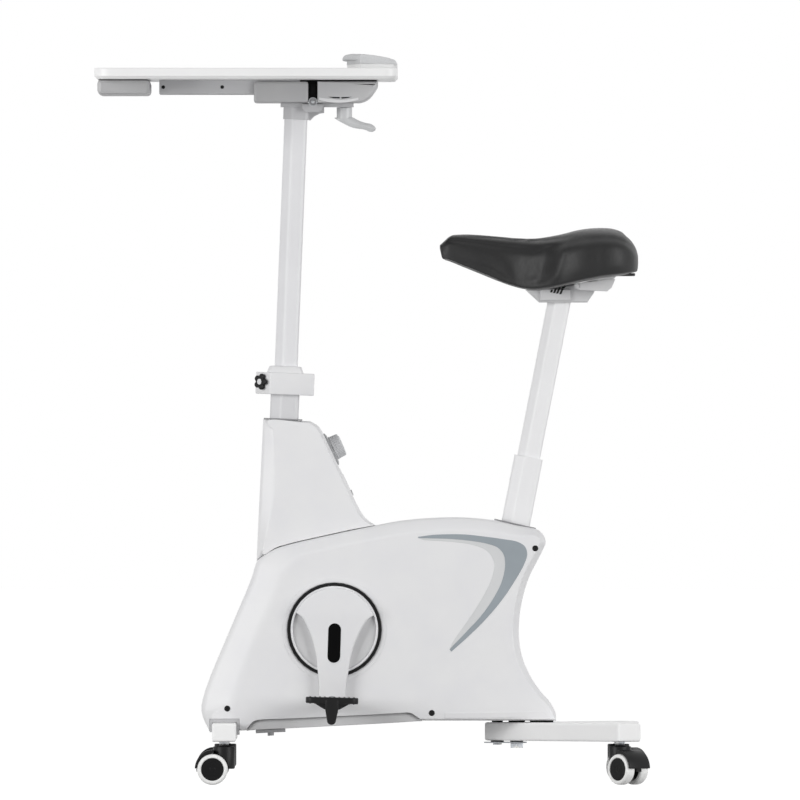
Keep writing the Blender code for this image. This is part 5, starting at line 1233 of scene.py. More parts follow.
def laid_on(name, flat, cover, side, lift_mm, thick_mm, closed=False):
    """Thin sheet over a grid of X and Z, projected along Y on to a cover and given a thickness."""
    beside = np.full(flat.shape[:2], side * OUT_BESIDE)
    grid = np.stack([flat[..., 0], beside, flat[..., 1]], axis=-1)
    sheet = surface(name, grid, close_columns=closed)
    wrap = sheet.modifiers.new("lay", "SHRINKWRAP")
    wrap.wrap_method = "PROJECT"
    wrap.target = cover
    wrap.use_project_x = False
    wrap.use_project_y = True
    wrap.use_project_z = False
    wrap.use_positive_direction = side < 0
    wrap.use_negative_direction = side > 0
    applied(sheet)
    points = mesh_points(sheet)
    points[:, 1] += side * lift_mm / 1000.0
    set_points(sheet, points)
    shape = bmesh.new()
    shape.from_mesh(sheet.data)
    bmesh.ops.recalc_face_normals(shape, faces=shape.faces)
    shape.faces.ensure_lookup_table()
    if shape.faces[0].normal.y * side < 0:
        bmesh.ops.reverse_faces(shape, faces=shape.faces)
    shape.to_mesh(sheet.data)
    shape.free()
    wall = sheet.modifiers.new("wall", "SOLIDIFY")
    wall.thickness = thick_mm / 1000.0
    wall.offset = -1.0
    return shade(applied(sheet), 35.0)


def face_at(cover, x, z, side):
    """Y of a cover's outer face at a place in the side view."""
    hit, place, _, _ = cover.ray_cast(Vector((x, side * 0.2, z)), Vector((0.0, -side, 0.0)))
    if not hit:
        raise RuntimeError("no cover at %.3f, %.3f" % (x, z))
    return place.y


def make_trim(settings):
    """Accent sweep, crank bezel, screws and the rear lip, on both sides."""
    angles = np.linspace(0.0, 2 * np.pi, 120, endpoint=False)
    head = settings.screw_radius
    for side, label in SIDES:
        cover = bpy.data.objects["body_cover_" + label]
        outer, inner = side_view(ACCENT_OUTER), side_view(ACCENT_INNER)
        accent = laid_on(
            "accent_sweep_" + label, ruled(outer, inner, 90, 7), cover, side,
            settings.accent_lift * 1000.0, 0.7)
        dress(accent, "accent_grey", "frame", "grey_plastic")
        pale = laid_on(
            "accent_shadow_" + label, ruled(inner, side_view(ACCENT_PALE), 80, 5), cover, side,
            0.2, 0.5)
        dress(pale, "accent_pale", "frame", "white_plastic")
        radii = np.array([0.0784, 0.0792, 0.0845, 0.0858])[:, None]
        bezel = np.stack([
            CRANK[0] + radii * np.cos(angles), CRANK[1] + radii * np.sin(angles)], axis=-1)
        bezel = laid_on("crank_bezel_" + label, bezel, cover, side, 0.5, 0.9, True)
        dress(bezel, "white_cover", "frame", "white_plastic")
        screws = []
        for across, down in ((227.0, 709.3), (431.8, 713.7), (535.5, 548.8)):
            x, z = side_view([(across, down)])[0]
            screw = lathe("screw", [
                (0.0, -0.0010), (0.92 * head, -0.0010), (head, -0.0004), (head, 0.0002),
                (0.88 * head, 0.0008), (0.60 * head, 0.0012), (0.44 * head, 0.0012),
                (0.42 * head, 0.0002), (0.0, 0.0002)], 32)
            place = (x, face_at(cover, x, z, side), z)
            screws.append(placed(screw, at(place, math.pi / 2 * -side, "X")))
        dress(joined("cover_screws_" + label, screws), "black_plastic", "frame", "black_plastic")
        lip = ruled(
            side_view([(445.0, 714.0), (500.0, 713.0), (544.0, 712.6)]),
            side_view([(445.0, 720.6), (500.0, 720.4), (550.0, 719.8)]), 40, 5)
        lip = laid_on("rear_lip_" + label, lip, cover, side, 0.9, 1.2)
        dress(lip, "white_trim", "frame", "white_plastic")


def make_tuck():
    """Recess along the foot of the body: cut out of each cover and backed by a slanted wall."""
    top = spline(side_view(TUCK_TOP), 60)
    foot = top.copy()
    foot[:, 1] = np.minimum(top[:, 1], 0.0800)
    outline = np.vstack([top, foot[::-1][:1], foot[:1]])
    for side, label in SIDES:
        cover = bpy.data.objects["body_cover_" + label]
        low, high = sorted((side * 0.0780, side * 0.0585))
        tool = extruded("tuck", outline, low, high)
        cut_with(cover, tool)
        remove(tool)
        shade(cover, 30.0)
        share = np.array([-0.12, 0.0, 0.35, 0.7, 1.0])[:, None]
        base = np.interp(top[:, 0], [-0.2693, -0.2219, -0.1398, 0.0450, 0.0813, 0.10],
                         [0.0853, 0.0876, 0.0917, 0.1014, 0.1043, 0.1043])
        height = top[:, 1] + (base - top[:, 1]) * share
        depth = side * (0.0640 + 0.0045 * np.clip(share, 0.0, 1.0))
        grid = np.stack([
            np.broadcast_to(top[:, 0], height.shape), np.broadcast_to(depth, height.shape),
            height], axis=-1)
        # The wall takes a darker white: painted shade under the cover's edge.
        wall = surface("tuck_wall_" + label, grid, close_columns=False)
        thick = wall.modifiers.new("wall", "SOLIDIFY")
        thick.thickness = 0.0020
        thick.offset = 0.0
        shade(applied(wall), 40.0)
        dress(wall, "tuck_white_painted_shade", "frame", "white_plastic")


# Under the desk and under the saddle

def make_slide_details():
    """Dark core and plate as painted shade in gaps, soft lever housing, its trim, bolt caps, lugs,
    screws.
    """
    # A black block in the gap behind the lever housing and a thin black sheet under the board:
    # painted shade in the gaps.
    plates = [
        ("slide_gap_painted_shade", (-0.1075, -0.0690, 1.1290), (-0.0900, 0.0690, 1.1600)),
        ("slide_seam_painted_shadow", (-0.1945, -0.0700, 1.1602), (0.0065, 0.0700, 1.16265))]
    for name, low, high in plates:
        dress(round_edges(slab(name, low, high), 0.6, 2, 50.0), "black_plastic", "mast",
              "black_plastic")
    front, rear, foot, top = -0.0914, 0.0087, 1.1254, 1.1602
    curve = [
        (rear, top, 0.0080), (rear, 1.1545, 0.0080), (0.0075, 1.1500, 0.0080),
        (0.0010, 1.1400, 0.0080), (-0.0055, 1.1325, 0.0070), (-0.0140, 1.1275, 0.0050),
        (-0.0220, foot, 0.0030)]
    front_top, front_foot = (front, top, 0.0012), (front, foot, 0.0012)
    runs = [[front_foot, front_top], [front_top, curve[0]], curve, [curve[-1], front_foot]]
    halves = []
    for side in (-1, 1):
        section = soft_section(side, 0.0, 0.100, 0.0070) + [(PANEL_REACH, side * 0.100)]
        halves.append(relief("half", runs, section, 0.004))
    housing = joined("lever_housing_shell", halves)
    grooves = [
        slab("groove", (-0.1000, low, 1.1378), (-0.0160, high, 1.1640))
        for low, high in ((-0.0935, -0.0705), (0.0705, 0.0935))]
    cut_with(housing, *grooves)
    remove(*grooves)
    shade(housing, 38.0)
    dress(housing, "housing_grey", "mast", "grey_plastic", "lever_housing")

    upper = [(-0.0888, 1.1336), (-0.0640, 1.1310), (-0.0536, 1.1298), (-0.0386, 1.1310),
             (-0.0240, 1.1332)]
    lower = [(-0.0232, 1.1296), (-0.0386, 1.1262), (-0.0553, 1.1247), (-0.0738, 1.1263),
             (-0.0888, 1.1297)]
    smile = np.vstack([spline(upper, 24), spline(lower, 24)])
    slots = [
        [(-0.0740, 1.1348), (-0.0542, 1.1344), (-0.0545, 1.1320), (-0.0640, 1.1322)],
        [(-0.0520, 1.1342), (-0.0345, 1.1348), (-0.0420, 1.1326), (-0.0515, 1.1316)]]
    rounded_lug = np.vstack([
        [(-0.1160, 1.1235)], arc((-0.1080, 1.1185), 0.0085, 180.0, 270.0, 8),
        arc((-0.0912, 1.1185), 0.0085, 270.0, 360.0, 8), [(-0.0827, 1.1235)]])
    for side, label in SIDES:
        low, high = sorted((side * 0.0985, side * 0.1012))
        trim = round_edges(extruded("housing_smile_" + label, smile, low, high), 0.5, 2, 50.0)
        dress(trim, "white_trim", "mast", "white_plastic")
        # The slots are thin black marks on the housing's face: painted shade in the slot openings.
        low, high = sorted((side * 0.0988, side * 0.1003))
        marks = [extruded("slot", slot, low, high) for slot in slots]
        dress(joined("housing_slots_" + label, marks), "black_plastic", "mast", "black_plastic")
        low, high = sorted((side * 0.0415, side * 0.0438))
        lug = extruded("head_lug_plate_" + label, rounded_lug, low, high)
        round_edges(lug, 0.9, 3, 50.0)
        # The lug takes the darker head paint: painted shade under the desk.
        dress(lug, "head_paint_painted_shade", "mast", "white_paint")
        out = at((-0.0988, side * 0.0966, 1.1268), -side * math.pi / 2, "X")
        cap = lathe("pivot_cap_" + label, [
            (0.0, 0.0), (0.0070, 0.0), (0.0073, 0.0004), (0.0073, 0.0020), (0.0069, 0.0024),
            (0.0060, 0.0024), (0.0056, 0.0010), (0.0030, 0.0010), (0.0028, 0.0026),
            (0.0012, 0.0031), (0.0, 0.0031)], 48)
        dress(placed(cap, out), "zinc", "mast", "steel")
        # A grey ring in the cap's hollow: painted shade in the well.
        well = lathe("pivot_well_shade_" + label, [
            (0.0030, 0.0008), (0.0056, 0.0008), (0.0056, 0.0013), (0.0030, 0.0013),
            (0.0030, 0.0008)], 40)
        dress(placed(well, out), "grey_gasket_and_painted_shade", "mast", "grey_plastic")
        screws = []
        for x in (-0.3460, -0.2487):
            screw = lathe("screw", [
                (0.0, 0.0), (0.0028, 0.0), (0.0030, 0.0004), (0.0024, 0.0012), (0.0012, 0.0014),
                (0.0, 0.0014)], 24)
            place = (x, side * 0.0918, 1.1509)
            screws.append(placed(screw, at(place, -side * math.pi / 2, "X")))
        dress(joined("rail_screws_" + label, screws), "black_plastic", "desk", "black_plastic")


def make_lever():
    """Slide lever: a hub and a paddle of ridged section that bends away under the desk."""
    upper = spline([
        (-0.0630, 1.1010), (-0.0348, 1.1019), (-0.0238, 1.0966), (-0.0134, 1.0928),
        (-0.0028, 1.0905), (0.0028, 1.0868), (0.0055, 1.0830)], 50)
    lower = spline([
        (-0.0634, 1.1003), (-0.0586, 1.0968), (-0.0470, 1.0905), (-0.0333, 1.0844),
        (-0.0134, 1.0811), (-0.0040, 1.0773), (0.0030, 1.0790), (0.0053, 1.0824)], 50)
    section = np.array([
        (0.62, 1.0), (0.86, 0.62), (0.97, 0.18), (1.0, -0.05), (0.93, -0.35), (0.66, -0.98),
        (-0.66, -0.98), (-0.93, -0.35), (-1.0, -0.05), (-0.97, 0.18), (-0.86, 0.62),
        (-0.62, 1.0)])
    reach = np.linspace(0.0, 1.0, 50)
    width = 0.0125 * (0.55 + 0.45 * np.minimum(1.0, 7.0 * reach)) * np.sqrt(
        1.0 - 0.8 * smooth_step(reach, 0.80, 1.0))
    middle, half = (upper + lower) / 2, (upper - lower) / 2
    flat = middle[:, None, :] + half[:, None, :] * section[None, :, 1:]
    y = width[:, None] * section[None, :, 0]
    grid = np.stack([flat[..., 0], y, flat[..., 1]], axis=-1)
    paddle = surface("paddle", grid, capped=True, sharp=22.0)
    hub = placed(lathe("hub", [
        (0.0, 1.0985), (0.0122, 1.0985), (0.0128, 1.0992), (0.0128, 1.1172), (0.0122, 1.1180),
        (0.0041, 1.1182), (0.0041, 1.1242), (0.0, 1.1242)], 64),
        at((-0.0470, 0.0, 0.0)))
    lever = joined("slide_lever_grip", [paddle, hub])
    dress(lever, "lever_grey", "slide_lever", "grey_plastic", "slide_lever")


def make_saddle_details():
    """Lip of the saddle pan at the rear, and black marks on the bracket's cheeks painting the
    shade in its slots.
    """
    plan = plan_outline((0.3900, -0.0820), (0.4337, 0.0820), 0.0200)
    lip = round_edges(upright("saddle_pan_lip", plan, 0.8390, 0.8436), 1.2, 3, 50.0)
    dress(lip, "black_plastic", "seat", "black_plastic")
    marks = [(0.2938, 0.8165, 0.8118), (0.2996, 0.8186, 0.8107), (0.3050, 0.8200, 0.8099),
             (0.3108, 0.8212, 0.8090), (0.3146, 0.8222, 0.8186)]
    for side, label in SIDES:
        # Each slot is a thin black mark on the cheek: painted shade in the slot.
        low, high = sorted((side * 0.0418, side * 0.0428))
        slots = []
        for x, top, foot in marks:
            slant = 0.22 * (top - foot)
            slots.append(extruded("slot", [
                (x + slant, top), (x + 0.0036 + slant, top), (x + 0.0036 - slant, foot),
                (x - slant, foot)], low, high))
        slots = joined("bracket_slot_shade_" + label, slots)
        dress(slots, "black_plastic", "seat", "black_plastic")


def make_seat_lever_mount():
    """Grey block that carries the seat lever below the saddle's pan."""
    mount = [(0.3400, 0.8288), (0.3985, 0.8346), (0.4035, 0.8392), (0.3985, 0.8406),
             (0.3562, 0.8345), (0.3400, 0.8316)]
    block = round_edges(extruded("seat_lever_mount", mount, -0.0712, -0.0440), 0.6, 2, 50.0)
    dress(block, "pale_grey", "seat", "grey_plastic")


def make_display():
    """White bezel round the dark display, level with the neck's slope, and the knob's base."""
    display_at = at(DISPLAY_PLACE, DISPLAY_LEAN)
    bezel = slab("display_bezel", (-0.0203, -0.0253, -0.0070), (0.0203, 0.0253, 0.0002))
    window = slab("window", (-0.0178, -0.0228, -0.0012), (0.0178, 0.0228, 0.0050))
    round_edges(bezel, 0.7, 2, 50.0)
    cut_with(bezel, window)
    remove(window)
    placed(shade(bezel, 30.0), display_at)
    dress(bezel, "white_trim", "frame", "white_plastic", "display_panel")
    glass = slab("display_window", (-0.0177, -0.0227, -0.0022), (0.0177, 0.0227, -0.0006))
    round_edges(glass, 0.3, 2, 50.0)
    well = placed(drum("well", 0.0052, -0.0050, 0.0030, 32), at((0.0140, 0.0, 0.0)))
    cut_with(glass, well)
    remove(well)
    placed(shade(glass, 30.0), display_at)
    dress(glass, "black_gloss", "frame", "black_plastic")
    base = placed(lathe("knob_base", [
        (0.0046, -0.0035), (0.0290, -0.0035), (0.0291, -0.0008), (0.0286, 0.0008),
        (0.0235, 0.0028), (0.0046, 0.0028), (0.0046, -0.0035)], 96), KNOB_FRAME)
    dress(base, "knob_shade", "frame", "grey_plastic", "knob_plate")


def make_base_details():
    """Black pads and sleeves at the rear legs' bolts, a rest under the body, partly painted
    shadow, the belly pad, painted shade.
    """
    pads = []
    for x, sleeve in ((0.2060, 0.0092), (0.2381, 0.0136)):
        inside = sleeve - 0.0006
        rings = [
            [(0.0058, 0.0689), (0.0106, 0.0689), (0.0110, 0.0693), (0.0110, 0.0706),
             (0.0058, 0.0706), (0.0058, 0.0689)],
            [(inside, 0.1012), (sleeve, 0.1012), (sleeve, 0.1070), (inside, 0.1070),
             (inside, 0.1012)]]
        pads += [placed(lathe("ring", ring, 40), at((x, 0.0, 0.0))) for ring in rings]
    # The black rest under the body's end is partly a rest and partly painted shadow in the gap
    # under the body.
    pads.append(slab("rest", (0.2600, -0.0500, 0.1014), (0.2985, 0.0500, 0.1039)))
    dress(joined("leg_pads", pads), "black_plastic", "frame", "black_plastic")
    # The grey pad on the belly plate is painted shade under the body.
    pad = [(-0.1925, 0.0868), (-0.1460, 0.0893), (-0.1460, 0.0955), (-0.1925, 0.0930)]
    dress(extruded("belly_pad_painted_shade", pad, -0.0240, 0.0240), "grey_gasket_and_painted_shade", "frame", "grey_plastic")


# Finishes of the pieces kept from the CAD

CAD_FINISHES = {
    "white_paint": ["base_beam", "mast_inner_tube"],
    # The outer mast tube and belly plate take a darker copy of the white powder coat: painted
    # shade.
    "sleeve_paint_painted_shade": ["mast_outer_tube", "belly_plate"],
    # The crossbar and rear legs take a lighter copy of the white powder coat: painted light.
    "leg_paint_painted_light": ["front_crossbar", "rear_leg_left", "rear_leg_right"],
    # The seat tubes take a lighter copy of the white powder coat: painted light.
    "post_paint_painted_light": ["seat_outer_tube", "seat_inner_post"],
    # The post head takes a darker copy of the white powder coat: painted shade under the desk.
    "head_paint_painted_shade": ["post_head"],
    # The channel is grey, darkened further with painted shade.
    "channel_grey_and_painted_shade": ["front_channel"],
    "black_plastic": [
        "crank_ring_left", "crank_ring_right", "gas_spring", "drive_pulley", "saddle_base"],
    "rubber": ["tension_cable"],
    # The gaskets' grey is partly their rubber and partly a painted shadow line at the covers'
    # rims.
    "grey_gasket_and_painted_shade": ["mast_gasket", "seat_gasket"],
    "belt": ["drive_belt"],
    "zinc": [
        "crank_axle", "drive_bracket", "flywheel", "magnet_bracket", "pivot_bolt"],
    "dull_zinc": ["leg_bolts"],
    "rail_paint": ["rail_left", "rail_right"],
    "grey_cover": ["desk_front_cover", "slide_carriage"],
    "pale_grey": ["display_button", "saddle_bracket", "seat_lever"],
}


def finish_cad_pieces():
    """Put a finish in the material slot of every CAD piece that stays in view."""
    for finish, nodes in CAD_FINISHES.items():
        for node in nodes:
            for slot in bpy.data.objects[node].material_slots:
                slot.material = FINISHES[finish]


# Stage

FLOOR = 60.0
LAMP_AIM = Vector((0.0, 0.0, 0.6))


def seen_share(tree):
    """1 for what the camera sees, also in a gloss or through glass, and 0 for falling light."""
    path = add_node(tree, "ShaderNodeLightPath")
    seen = path.outputs["Is Camera Ray"]
    for ray in ("Is Glossy Ray", "Is Transmission Ray"):
        both = add_node(
            tree, "ShaderNodeMath", {0: seen, 1: path.outputs[ray]}, operation="MAXIMUM")
        seen = both.outputs["Value"]
    return seen


def white_floor(name, glow):
    """White floor that keeps the object's shadow.

    To the camera, and in reflections, a steady glow is added to the floor's own shading, so
    that it reads as white wherever nothing shades it.
    """
    material, tree, shader = new_material(name, "#a8a8a8", 1.0, Specular_IOR_Level=0.0)
    level = add_node(
        tree, "ShaderNodeMath", {0: seen_share(tree)}, {1: glow}, operation="MULTIPLY")
    white = add_node(
        tree, "ShaderNodeEmission", {"Strength": level.outputs["Value"]},
        {"Color": from_hex("#ffffff")})
    total = add_node(
        tree, "ShaderNodeAddShader", {0: shader.outputs["BSDF"], 1: white.outputs["Emission"]})
    tree.links.new(total.outputs["Shader"], tree.nodes["Material Output"].inputs["Surface"])
    return material


def add_lamp(name, place, size, power):
    """Soft square lamp that faces the middle of the bike."""
    lamp = bpy.data.lights.new(name, "AREA")
    lamp.size = size
    lamp.energy = power
    holder = in_scene(name, lamp)
    holder.location = place
    holder.rotation_euler = (LAMP_AIM - Vector(place)).to_track_quat("-Z", "Y").to_euler()


def build_stage(settings):
    """White floor, three soft lamps, an even white world and the camera of the side view."""
    floor = bpy.data.meshes.new("floor")
    corners = [(-FLOOR, -FLOOR, 0), (FLOOR, -FLOOR, 0), (FLOOR, FLOOR, 0), (-FLOOR, FLOOR, 0)]
    floor.from_pydata(corners, [], [(0, 1, 2, 3)])
    floor.materials.append(white_floor("Studio floor white", settings.floor_glow))
    in_scene("floor", floor)

    add_lamp("key", (-3.4, -2.6, 1.2), 2.2, settings.key_power)
    add_lamp("fill", (3.4, -2.6, 1.2), 2.4, settings.fill_power)
    add_lamp("top", (0.2, 0.3, 3.4), 2.4, settings.top_power)

    world = bpy.data.worlds.new("studio")
    bpy.context.scene.world = world
    world.use_nodes = True
    tree = world.node_tree
    tree.nodes.clear()
    level = add_node(
        tree, "ShaderNodeMapRange", {"Value": seen_share(tree)},
        {"To Min": settings.world_level, "To Max": 1.0})
    light = add_node(
        tree, "ShaderNodeBackground", {"Strength": level.outputs["Result"]},
        {"Color": from_hex("#ffffff")})
    output = add_node(tree, "ShaderNodeOutputWorld")
    tree.links.new(light.outputs["Background"], output.inputs["Surface"])

    camera = bpy.data.cameras.new("camera")
    camera.lens = 1600.0
    camera.sensor_width = 36.0
    camera.clip_end = 400.0
    away = settings.view_width * camera.lens / camera.sensor_width
    holder = in_scene("camera", camera)
    holder.location = (settings.view_x, -away, settings.view_z)
    holder.rotation_euler = (math.pi / 2, 0.0, 0.0)
    bpy.context.scene.camera = holder
    bpy.context.scene.view_settings.view_transform = "Standard"


# Add-on

def colour_property(name, description, default):
    """Colour setting whose default is given as an sRGB hex value."""
    return FloatVectorProperty(
        name=name, description=description, default=from_hex(default)[:3], min=0.0, max=1.0,
        subtype="COLOR")


def length_property(name, description, default):
    """Length setting in metres that can't be below nothing."""
    return FloatProperty(
        name=name, description=description, default=default, min=0.0, precision=4,
        unit="LENGTH")


class FinishSettings(bpy.types.PropertyGroup):
    cover: colour_property("Covers", "Colour of the white plastic covers", "#e9e9ea")
    # The frame paint sets the legs' lighter copy of the white powder coat: painted light.
    paint: colour_property("Frame paint", "Colour of the painted legs", "#fafafa")
    accent: colour_property("Accent", "Colour of the sweep on the body", "#9aa2a8")
    board: colour_property("Desktop", "Colour of the desktop's facing", "#f2f2f2")
    saddle: colour_property("Saddle", "Colour of the saddle's cover", "#101011")
    rest: colour_property("Wrist rest", "Colour of the wrist rest's skin", "#d6d7d8")


class CoverSettings(bpy.types.PropertyGroup):
    spacing: length_property("Spacing", "Distance between points along a cover's rim", 0.004)
    wall: length_property("Wall", "Thickness of the covers' plastic", 0.0025)
    screw_radius: length_property("Screw radius", "Radius of a cover screw's head", 0.0050)
    accent_lift: length_property("Accent lift", "Height of the accent on the body", 0.00035)


class CrankSettings(bpy.types.PropertyGroup):
    plate_width: length_property("Plate width", "Width of the black plate on the arm", 0.0212)
    plate_height: length_property("Plate height", "Height of the black plate", 0.0653)


class PaddingSettings(bpy.types.PropertyGroup):
    swell: length_property("Swell", "How far a pad starts inside its finished size", 0.001)
    cap: length_property("Cap", "Furthest that a point of a pad may swell", 0.0025)


class CastorSettings(bpy.types.PropertyGroup):
    clearance: length_property("Clearance", "Space between a wheel and its fender", 0.0012)


class ControlSettings(bpy.types.PropertyGroup):
    ribs: IntProperty(
        name="Knob ribs", description="Number of ribs round the resistance knob", default=30,
        min=6, max=60)
    lobes: IntProperty(
        name="Clamp knob lobes", description="Number of lobes on the mast's clamp knob",
        default=5, min=3, max=9)


class StageSettings(bpy.types.PropertyGroup):
    floor_glow: FloatProperty(
        name="Floor glow", description="Brightness added to the floor to keep it white",
        default=0.88, min=0.0, max=1.0, subtype="FACTOR")
    key_power: FloatProperty(
        name="Key lamp", description="Power of the lamp at the front left", default=100.0, min=0.0)
    fill_power: FloatProperty(
        name="Fill lamp", description="Power of the lamp at the front right", default=95.0,
        min=0.0)
    top_power: FloatProperty(
        name="Top lamp", description="Power of the lamp overhead", default=7.0, min=0.0)
    world_level: FloatProperty(
        name="World light", description="Strength of the even light all round", default=0.34,
        min=0.0)
    view_width: FloatProperty(
        name="View width", description="Width of the picture at the object", default=1.3235,
        unit="LENGTH")
    view_x: FloatProperty(
        name="View centre along", description="X of the picture's centre", default=0.045,
        unit="LENGTH")
    view_z: FloatProperty(
        name="View centre height", description="Height of the picture's centre", default=0.634,
        unit="LENGTH")


def carry_out(make, *settings, made=()):
    """Run a function that makes pieces; raise an error if it can't be run or leaves one out."""
    if not FINISHES:
        raise RuntimeError("the finishes operator has to run first")
    make(*settings)
    missing = [name for name in made if name not in bpy.data.objects]
    if missing:
        raise RuntimeError("not made: " + ", ".join(missing))
    return {"FINISHED"}


class BIKE_OT_finishes(bpy.types.Operator):
    """Make the finishes and put them on the pieces kept from the CAD"""
    bl_idname = "bike.finishes"
    bl_label = "Finishes"

    def execute(self, context):
        make_finishes(context.scene.bike_finishes)
        return carry_out(finish_cad_pieces)


class BIKE_OT_covers(bpy.types.Operator):
    """Make both halves of the body cover and of the neck"""
    bl_idname = "bike.covers"
    bl_label = "Body and neck covers"

    def execute(self, context):
        return carry_out(
            make_covers, context.scene.bike_covers,
            made=("body_cover_left", "neck_shell_right"))


class BIKE_OT_tuck(bpy.types.Operator):
    """Cut the recess along the body's foot and back it with a slanted wall"""
    bl_idname = "bike.tuck"
    bl_label = "Foot recess"

    def execute(self, context):
        return carry_out(make_tuck, made=("tuck_wall_left", "tuck_wall_right"))


class BIKE_OT_trim(bpy.types.Operator):
    """Make the accent sweep, crank bezel, screws and rear lip on both sides"""
    bl_idname = "bike.trim"
    bl_label = "Body trim"

    def execute(self, context):
        return carry_out(
            make_trim, context.scene.bike_covers,
            made=("accent_sweep_left", "crank_bezel_right"))


class BIKE_OT_crank(bpy.types.Operator):
    """Make the crank covers with their dishes and plates"""
    bl_idname = "bike.crank"
    bl_label = "Crank"

    def execute(self, context):
        return carry_out(
            make_crank, context.scene.bike_crank,
            made=("crank_shell_left", "crank_shell_right"))


class BIKE_OT_saddle(bpy.types.Operator):
    """Make the padded saddle"""
    bl_idname = "bike.saddle"
    bl_label = "Saddle"

    def execute(self, context):
        return carry_out(make_saddle, context.scene.bike_padding, made=("saddle_pad",))


class BIKE_OT_saddle_parts(bpy.types.Operator):
    """Make the saddle pan's lip and the painted shade of the slots in its bracket"""
    bl_idname = "bike.saddle_parts"
    bl_label = "Saddle bracket details"

    def execute(self, context):
        return carry_out(make_saddle_details, made=("saddle_pan_lip",))


class BIKE_OT_lever_mount(bpy.types.Operator):
    """Make the block that carries the seat lever"""
    bl_idname = "bike.lever_mount"
    bl_label = "Seat lever mount"

    def execute(self, context):
        return carry_out(make_seat_lever_mount, made=("seat_lever_mount",))


class BIKE_OT_board(bpy.types.Operator):
    """Make the desktop board"""
    bl_idname = "bike.board"
    bl_label = "Desktop"

    def execute(self, context):
        return carry_out(make_board, made=("board",))


class BIKE_OT_rest(bpy.types.Operator):
    """Make the padded wrist rest and its base"""
    bl_idname = "bike.rest"
    bl_label = "Wrist rest"

    def execute(self, context):
        return carry_out(make_rest, context.scene.bike_padding, made=("rest_pad", "rest_base"))


class BIKE_OT_castors(bpy.types.Operator):
    """Make the four twin-wheel castors"""
    bl_idname = "bike.castors"
    bl_label = "Castors"

    def execute(self, context):
        return carry_out(make_castors, context.scene.bike_castors)


class BIKE_OT_pedals(bpy.types.Operator):
    """Make both pedals"""
    bl_idname = "bike.pedals"
    bl_label = "Pedals"

    def execute(self, context):
        return carry_out(make_pedals, made=("pedal_body_left", "pedal_body_right"))


class BIKE_OT_knobs(bpy.types.Operator):
    """Make the resistance knob and the mast's clamp knob"""
    bl_idname = "bike.knobs"
    bl_label = "Knobs"

    def execute(self, context):
        return carry_out(make_knobs, context.scene.bike_controls, made=("clamp_knob_cap",))


class BIKE_OT_collar(bpy.types.Operator):
    """Make the collar round the mast"""
    bl_idname = "bike.collar"
    bl_label = "Mast collar"

    def execute(self, context):
        return carry_out(make_collar, made=("mast_collar_shell",))


class BIKE_OT_slide(bpy.types.Operator):
    """Make the slide's dark plates painted as shade, its lever housing, caps and screws"""
    bl_idname = "bike.slide"
    bl_label = "Desk slide details"

    def execute(self, context):
        return carry_out(make_slide_details, made=("slide_gap_painted_shade", "lever_housing_shell"))


class BIKE_OT_lever(bpy.types.Operator):
    """Make the lever that frees the desk's slide"""
    bl_idname = "bike.lever"
    bl_label = "Slide lever"

    def execute(self, context):
        return carry_out(make_lever, made=("slide_lever_grip",))


class BIKE_OT_display(bpy.types.Operator):
    """Make the display's bezel and window and the knob's base"""
    bl_idname = "bike.display"
    bl_label = "Display"

    def execute(self, context):
        return carry_out(make_display, made=("display_bezel", "knob_base"))


class BIKE_OT_base(bpy.types.Operator):
    """Make the pads and sleeves at the legs' bolts, the rest under the body (partly painted
    shadow), the belly pad (painted shade)
    """
    bl_idname = "bike.base"
    bl_label = "Base details"

    def execute(self, context):
        return carry_out(make_base_details, made=("leg_pads", "belly_pad_painted_shade"))


class BIKE_OT_stage(bpy.types.Operator):
    """Make the floor, the lamps, the world and the camera"""
    bl_idname = "bike.stage"
    bl_label = "Stage"

    def execute(self, context):
        return carry_out(build_stage, context.scene.bike_stage)


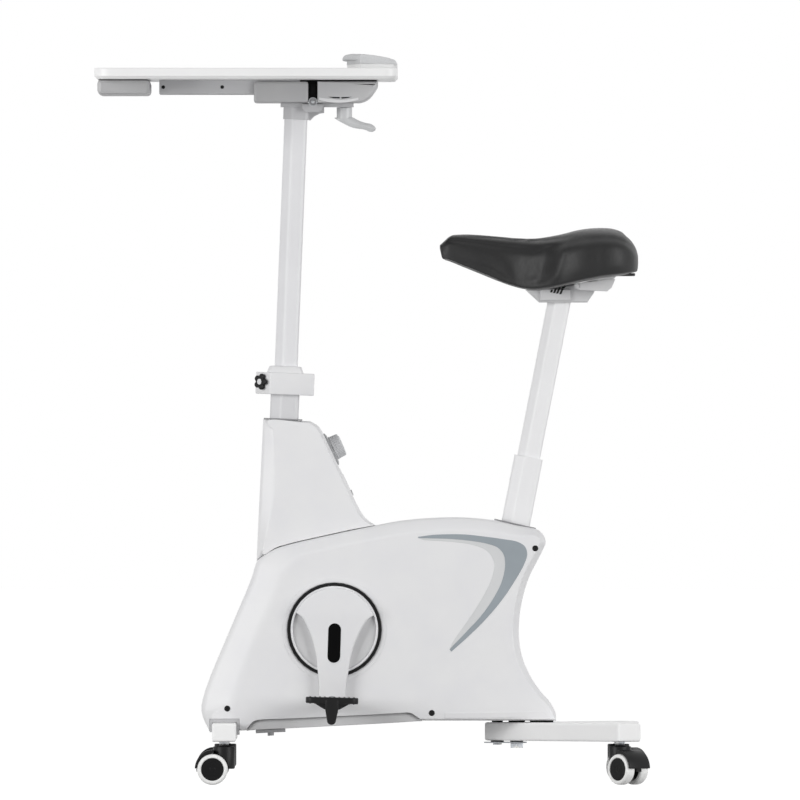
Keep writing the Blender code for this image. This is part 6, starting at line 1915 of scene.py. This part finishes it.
SETTINGS = {
    "bike_finishes": FinishSettings, "bike_covers": CoverSettings, "bike_crank": CrankSettings,
    "bike_padding": PaddingSettings, "bike_castors": CastorSettings,
    "bike_controls": ControlSettings, "bike_stage": StageSettings}
OPERATORS = [
    BIKE_OT_finishes, BIKE_OT_covers, BIKE_OT_tuck, BIKE_OT_trim, BIKE_OT_crank,
    BIKE_OT_saddle, BIKE_OT_saddle_parts, BIKE_OT_lever_mount, BIKE_OT_board, BIKE_OT_rest,
    BIKE_OT_castors, BIKE_OT_pedals, BIKE_OT_knobs, BIKE_OT_collar, BIKE_OT_slide,
    BIKE_OT_lever, BIKE_OT_display, BIKE_OT_base, BIKE_OT_stage]


class BIKE_PT_panel(bpy.types.Panel):
    """Settings and operators of the desk exercise bike"""
    bl_idname = "BIKE_PT_panel"
    bl_label = "Desk exercise bike"
    bl_space_type = "VIEW_3D"
    bl_region_type = "UI"
    bl_category = "Bike"

    def draw(self, context):
        for name in SETTINGS:
            settings = getattr(context.scene, name)
            box = self.layout.box()
            for field in settings.bl_rna.properties:
                if field.identifier not in ("name", "rna_type"):
                    box.prop(settings, field.identifier)
        for kind in OPERATORS:
            self.layout.operator(kind.bl_idname)


def register():
    """Register the add-on's classes and put its settings on the scene."""
    for name, kind in SETTINGS.items():
        bpy.utils.register_class(kind)
        setattr(bpy.types.Scene, name, PointerProperty(type=kind))
    for kind in [*OPERATORS, BIKE_PT_panel]:
        bpy.utils.register_class(kind)


def unregister():
    """Take the add-on's classes and settings away again."""
    for kind in [BIKE_PT_panel, *reversed(OPERATORS)]:
        bpy.utils.unregister_class(kind)
    for name, kind in SETTINGS.items():
        delattr(bpy.types.Scene, name)
        bpy.utils.unregister_class(kind)


def main():
    """Build everything in order."""
    register()
    bpy.ops.bike.finishes()
    bpy.ops.bike.covers()
    bpy.ops.bike.tuck()
    bpy.ops.bike.trim()
    bpy.ops.bike.crank()
    bpy.ops.bike.saddle()
    bpy.ops.bike.saddle_parts()
    bpy.ops.bike.lever_mount()
    bpy.ops.bike.board()
    bpy.ops.bike.rest()
    bpy.ops.bike.castors()
    bpy.ops.bike.pedals()
    bpy.ops.bike.knobs()
    bpy.ops.bike.collar()
    bpy.ops.bike.slide()
    bpy.ops.bike.lever()
    bpy.ops.bike.display()
    bpy.ops.bike.base()
    bpy.ops.bike.stage()


if __name__ == "__main__":
    main()
